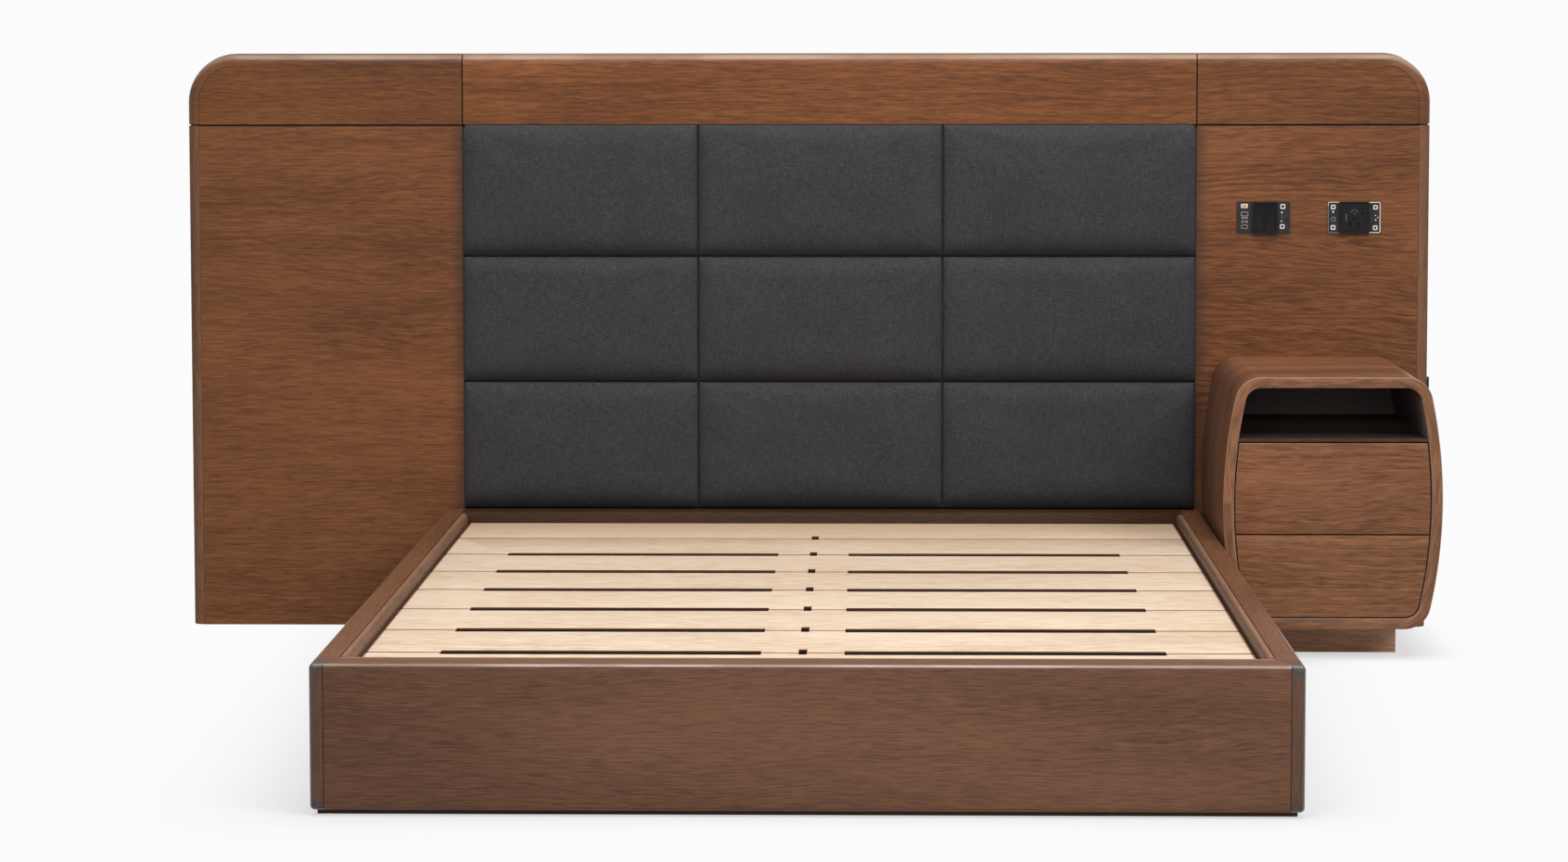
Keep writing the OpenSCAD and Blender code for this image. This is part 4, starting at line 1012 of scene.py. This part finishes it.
def device_marks():
    """Generic squares, bars, rings and dots on the plates and the socket's block; none can be read."""
    cream = paint("mark_cream", (0.72, 0.60, 0.47))
    white = paint("mark_white", (0.80, 0.76, 0.70))
    grey = paint("mark_grey", (0.24, 0.21, 0.19))
    copper = paint("mark_copper", (0.40, 0.16, 0.07))
    dim = paint("mark_dim", (0.060, 0.062, 0.068))

    device_mark("switch_mark_cream", SWITCH_X, cream, [bar(16.5, 9.5, 15.4, 9.6, 1.6)])
    on_cream = PLATE_FACE - 0.3
    device_mark("switch_mark_copper", SWITCH_X, copper, [bar(16.9, 10.0, 8.4, 3.4, 0.8)], on_cream)
    device_mark("switch_mark_grey", SWITCH_X, grey, [
        frame_line(17.2, 27.2, 14.6, 8.4, 1.0, 1.9),
        bar(17.2, 35.8, 14.6, 3.4, 0.8), bar(13.0, 44.2, 5.4, 5.2, 0.8), bar(21.4, 44.2, 5.4, 5.2, 0.8),
        frame_line(17.2, 55.4, 13.6, 7.2, 2.2, 1.6),
    ])
    device_mark("switch_mark_white", SWITCH_X, white, [
        square(101.0, 10.6, 10.8, 2.3), square(100.2, 54.9, 10.2, 2.3),
        dot(99.0, 23.8, 2.1), dot(98.2, 43.0, 1.7),
    ])
    device_mark("switch_mark_dim", SWITCH_X, dim, [ring(99.5, 33.2, 3.0)])
    right_frame = [(91.6, 1.6), (113.4, 1.6), (115.4, 3.6), (115.4, 66.2), (113.4, 68.2), (91.6, 68.2)]
    device_mark("socket_mark_cream", SOCKET_X, cream, [
        ("line", [(1.5, 9.0), (1.5, 2.8), (2.9, 1.4), (25.6, 1.4)], 1.6, False),
        ("line", right_frame, 2.1, False),
    ])
    device_mark("socket_mark_grey", SOCKET_X, grey, [
        ("line", [(1.5, 9.0), (1.5, 66.6), (2.9, 68.2), (25.6, 68.2)], 1.3, False), ring(13.0, 38.6, 4.6),
    ])
    device_mark("socket_mark_white", SOCKET_X, white, [
        square(12.4, 12.0, 10.0, 2.3), square(12.4, 57.0, 10.4, 2.4),
        square(105.4, 12.6, 9.8, 2.3), square(105.0, 57.6, 10.0, 2.3),
        ("fill", [(9.9, 21.2), (14.9, 21.2), (12.4, 26.0)]),
        dot(105.6, 30.4, 1.3), dot(110.4, 35.2, 1.3), dot(105.8, 40.6, 1.7),
    ])
    device_mark("socket_mark_dim", SOCKET_X, dim, [
        ("line", arc(58.5, 27.0, 8.6, 200, 340), 1.8, False),
        ("line", [(40.5, 26.0), (40.5, 44.0)], 2.4, False),
        dot(58.8, 26.4, 2.0),
    ], BLOCK_FACE)


device_marks()


# ---- floor, light and camera

# Tone of the backdrop and the far floor, and strength of the even light all round
BACKGROUND, AMBIENT = 0.967, 0.19


def away(dx, dy, half_w, half_d):
    """Distance from a rectangle on the floor."""
    dx, dy = ((d.size() - half).math("MAXIMUM", 0.0) for d, half in ((dx, half_w), (dy, half_d)))
    return (dx * dx + dy * dy).math("SQRT")


def pale_floor():
    """A pale floor that meets a backdrop of the same tone; only the bed's shadow shows on it."""
    net = Net("pale_floor")
    x, y, _ = net.place()
    seen = net.add("ShaderNodeLightPath", {}, {}, "Is Camera Ray")
    shiny = net.add("ShaderNodeLightPath", {}, {}, "Is Glossy Ray")
    through = net.add("ShaderNodeLightPath", {}, {}, "Is Transmission Ray")
    shown = seen.math("MAXIMUM", shiny).math("MAXIMUM", through)
    # under the bed nothing is added to the floor's own shade
    bed_y, nightstand_y = FACE_Y - 1.06, FACE_Y - 0.20
    near_tone, near_grey, steeper = 0.60, 0.26, 2.6
    dx = ((x - BED_X) / 0.81).size()
    dy = ((y - bed_y) / 1.10).size()
    under = 1.0 - dx.math("MAXIMUM", dy).smooth(0.97, 1.0)
    from_bed = away(x - BED_X, y - bed_y, 0.80, 1.08)
    from_nightstand = away(x - SHELL_X, y - nightstand_y, 0.16, 0.17) * steeper
    far = from_bed.math("MINIMUM", from_nightstand).smooth(0.02, 0.42)
    lift = (1.0 - under) * (near_tone + far * (BACKGROUND - near_tone))
    white = net.vector(1.0, 1.0, 1.0)
    glow = net.add("ShaderNodeEmission", {}, {"Color": white, "Strength": lift})
    own = near_grey * (1.0 - far)
    shade = net.add("ShaderNodeBsdfDiffuse", {}, {"Color": net.vector(own, own, own)})
    both = net.add("ShaderNodeAddShader", {}, {0: glow, 1: shade})
    plain = net.add("ShaderNodeBsdfDiffuse", {}, {"Color": (0.58, 0.58, 0.58)})
    net.out(net.add("ShaderNodeMixShader", {}, {0: shown, 1: plain, 2: both}))
    half, under_feet = 30.0, -0.0006
    corners = [(i * half, j * half, under_feet) for i, j in ((-1, -1), (1, -1), (1, 1), (-1, 1))]
    floor = make_piece("floor", corners, [(0, 1, 2, 3)], net.material, smooth=False)


def studio():
    """A dim even light all round, behind which the camera sees the floor's own tone."""
    world = bpy.data.worlds.new("studio")
    bpy.context.scene.world = world
    world.use_nodes = True
    tree = world.node_tree
    tree.nodes.clear()
    path = tree.nodes.new("ShaderNodeLightPath")
    either, any_ray = (tree.nodes.new("ShaderNodeMath") for _ in range(2))
    either.operation = any_ray.operation = "MAXIMUM"
    ambient, backdrop = (tree.nodes.new("ShaderNodeBackground") for _ in range(2))
    for light, strength in ((ambient, AMBIENT), (backdrop, BACKGROUND)):
        light.inputs["Color"].default_value = (1, 1, 1, 1)
        light.inputs["Strength"].default_value = strength
    pick = tree.nodes.new("ShaderNodeMixShader")
    out = tree.nodes.new("ShaderNodeOutputWorld")
    link = tree.links.new
    link(path.outputs["Is Camera Ray"], either.inputs[0])
    link(path.outputs["Is Glossy Ray"], either.inputs[1])
    link(either.outputs[0], any_ray.inputs[0])
    link(path.outputs["Is Transmission Ray"], any_ray.inputs[1])
    link(any_ray.outputs[0], pick.inputs[0])
    link(ambient.outputs[0], pick.inputs[1])
    link(backdrop.outputs[0], pick.inputs[2])
    link(pick.outputs[0], out.inputs["Surface"])


def softbox(name, place, aim, width, height, power):
    """A rectangular soft light that faces its aim."""
    data = bpy.data.lights.new(name, "AREA")
    data.shape = "RECTANGLE"
    data.size, data.size_y = width, height
    data.energy = power
    light = bpy.data.objects.new(name, data)
    light.location = place
    light.rotation_euler = (Vector(aim) - Vector(place)).to_track_quat("-Z", "Y").to_euler()
    bpy.context.scene.collection.objects.link(light)


def lights():
    softbox("overhead", (0.10, -0.25, 3.9), (0.10, -0.1, 0.0), 3.8, 1.9, 80.0)
    softbox("foot_strip", (0.05, -2.00, 3.2), (0.05, -1.2, 0.0), 3.4, 0.9, 62.0)
    softbox("front_left", (-2.3, -6.3, 4.7), (0.0, 0.5, 0.6), 3.0, 2.4, 66.0)
    softbox("front_right", (4.2, -3.9, 4.7), (0.0, 0.5, 0.6), 3.0, 2.4, 184.0)
    softbox("behind", (0.4, 6.8, 1.8), (0.0, 1.1, 0.6), 5.0, 1.2, 110.0)
    softbox("low_fill", (0.6, -7.5, 1.5), (0.0, 0.5, 0.5), 5.0, 1.8, 52.0)


def camera():
    """The photograph's camera, fitted to the edges of the bed: focal length in pixels, place and angles."""
    focal_px, across_px, down_px, axis_px, sensor_mm = 4352.3, 1691.0, 930.0, 370.0, 36.0
    yaw, pitch, roll = (math.radians(a) for a in (-1.228, -4.430, -0.057))
    forward = Vector((math.sin(yaw) * math.cos(pitch), math.cos(yaw) * math.cos(pitch), math.sin(pitch)))
    right = Vector((math.cos(yaw), -math.sin(yaw), 0.0))
    up = right.cross(forward)
    turned_right = right * math.cos(roll) + up * math.sin(roll)
    turned_up = up * math.cos(roll) - right * math.sin(roll)
    data = bpy.data.cameras.new("view")
    data.sensor_width = sensor_mm
    data.lens = focal_px / across_px * sensor_mm
    data.shift_y = -(down_px / 2 - axis_px) / across_px
    data.clip_start, data.clip_end = 0.1, 100.0
    view = bpy.data.objects.new("view", data)
    turned = Matrix((turned_right, turned_up, -forward)).transposed().to_4x4()
    view.matrix_world = Matrix.Translation(spot(107.5, -8912.2, 1322.3)) @ turned
    bpy.context.scene.collection.objects.link(view)
    bpy.context.scene.camera = view


pale_floor()
studio()
lights()
camera()
bpy.context.scene.view_settings.view_transform = "Standard"
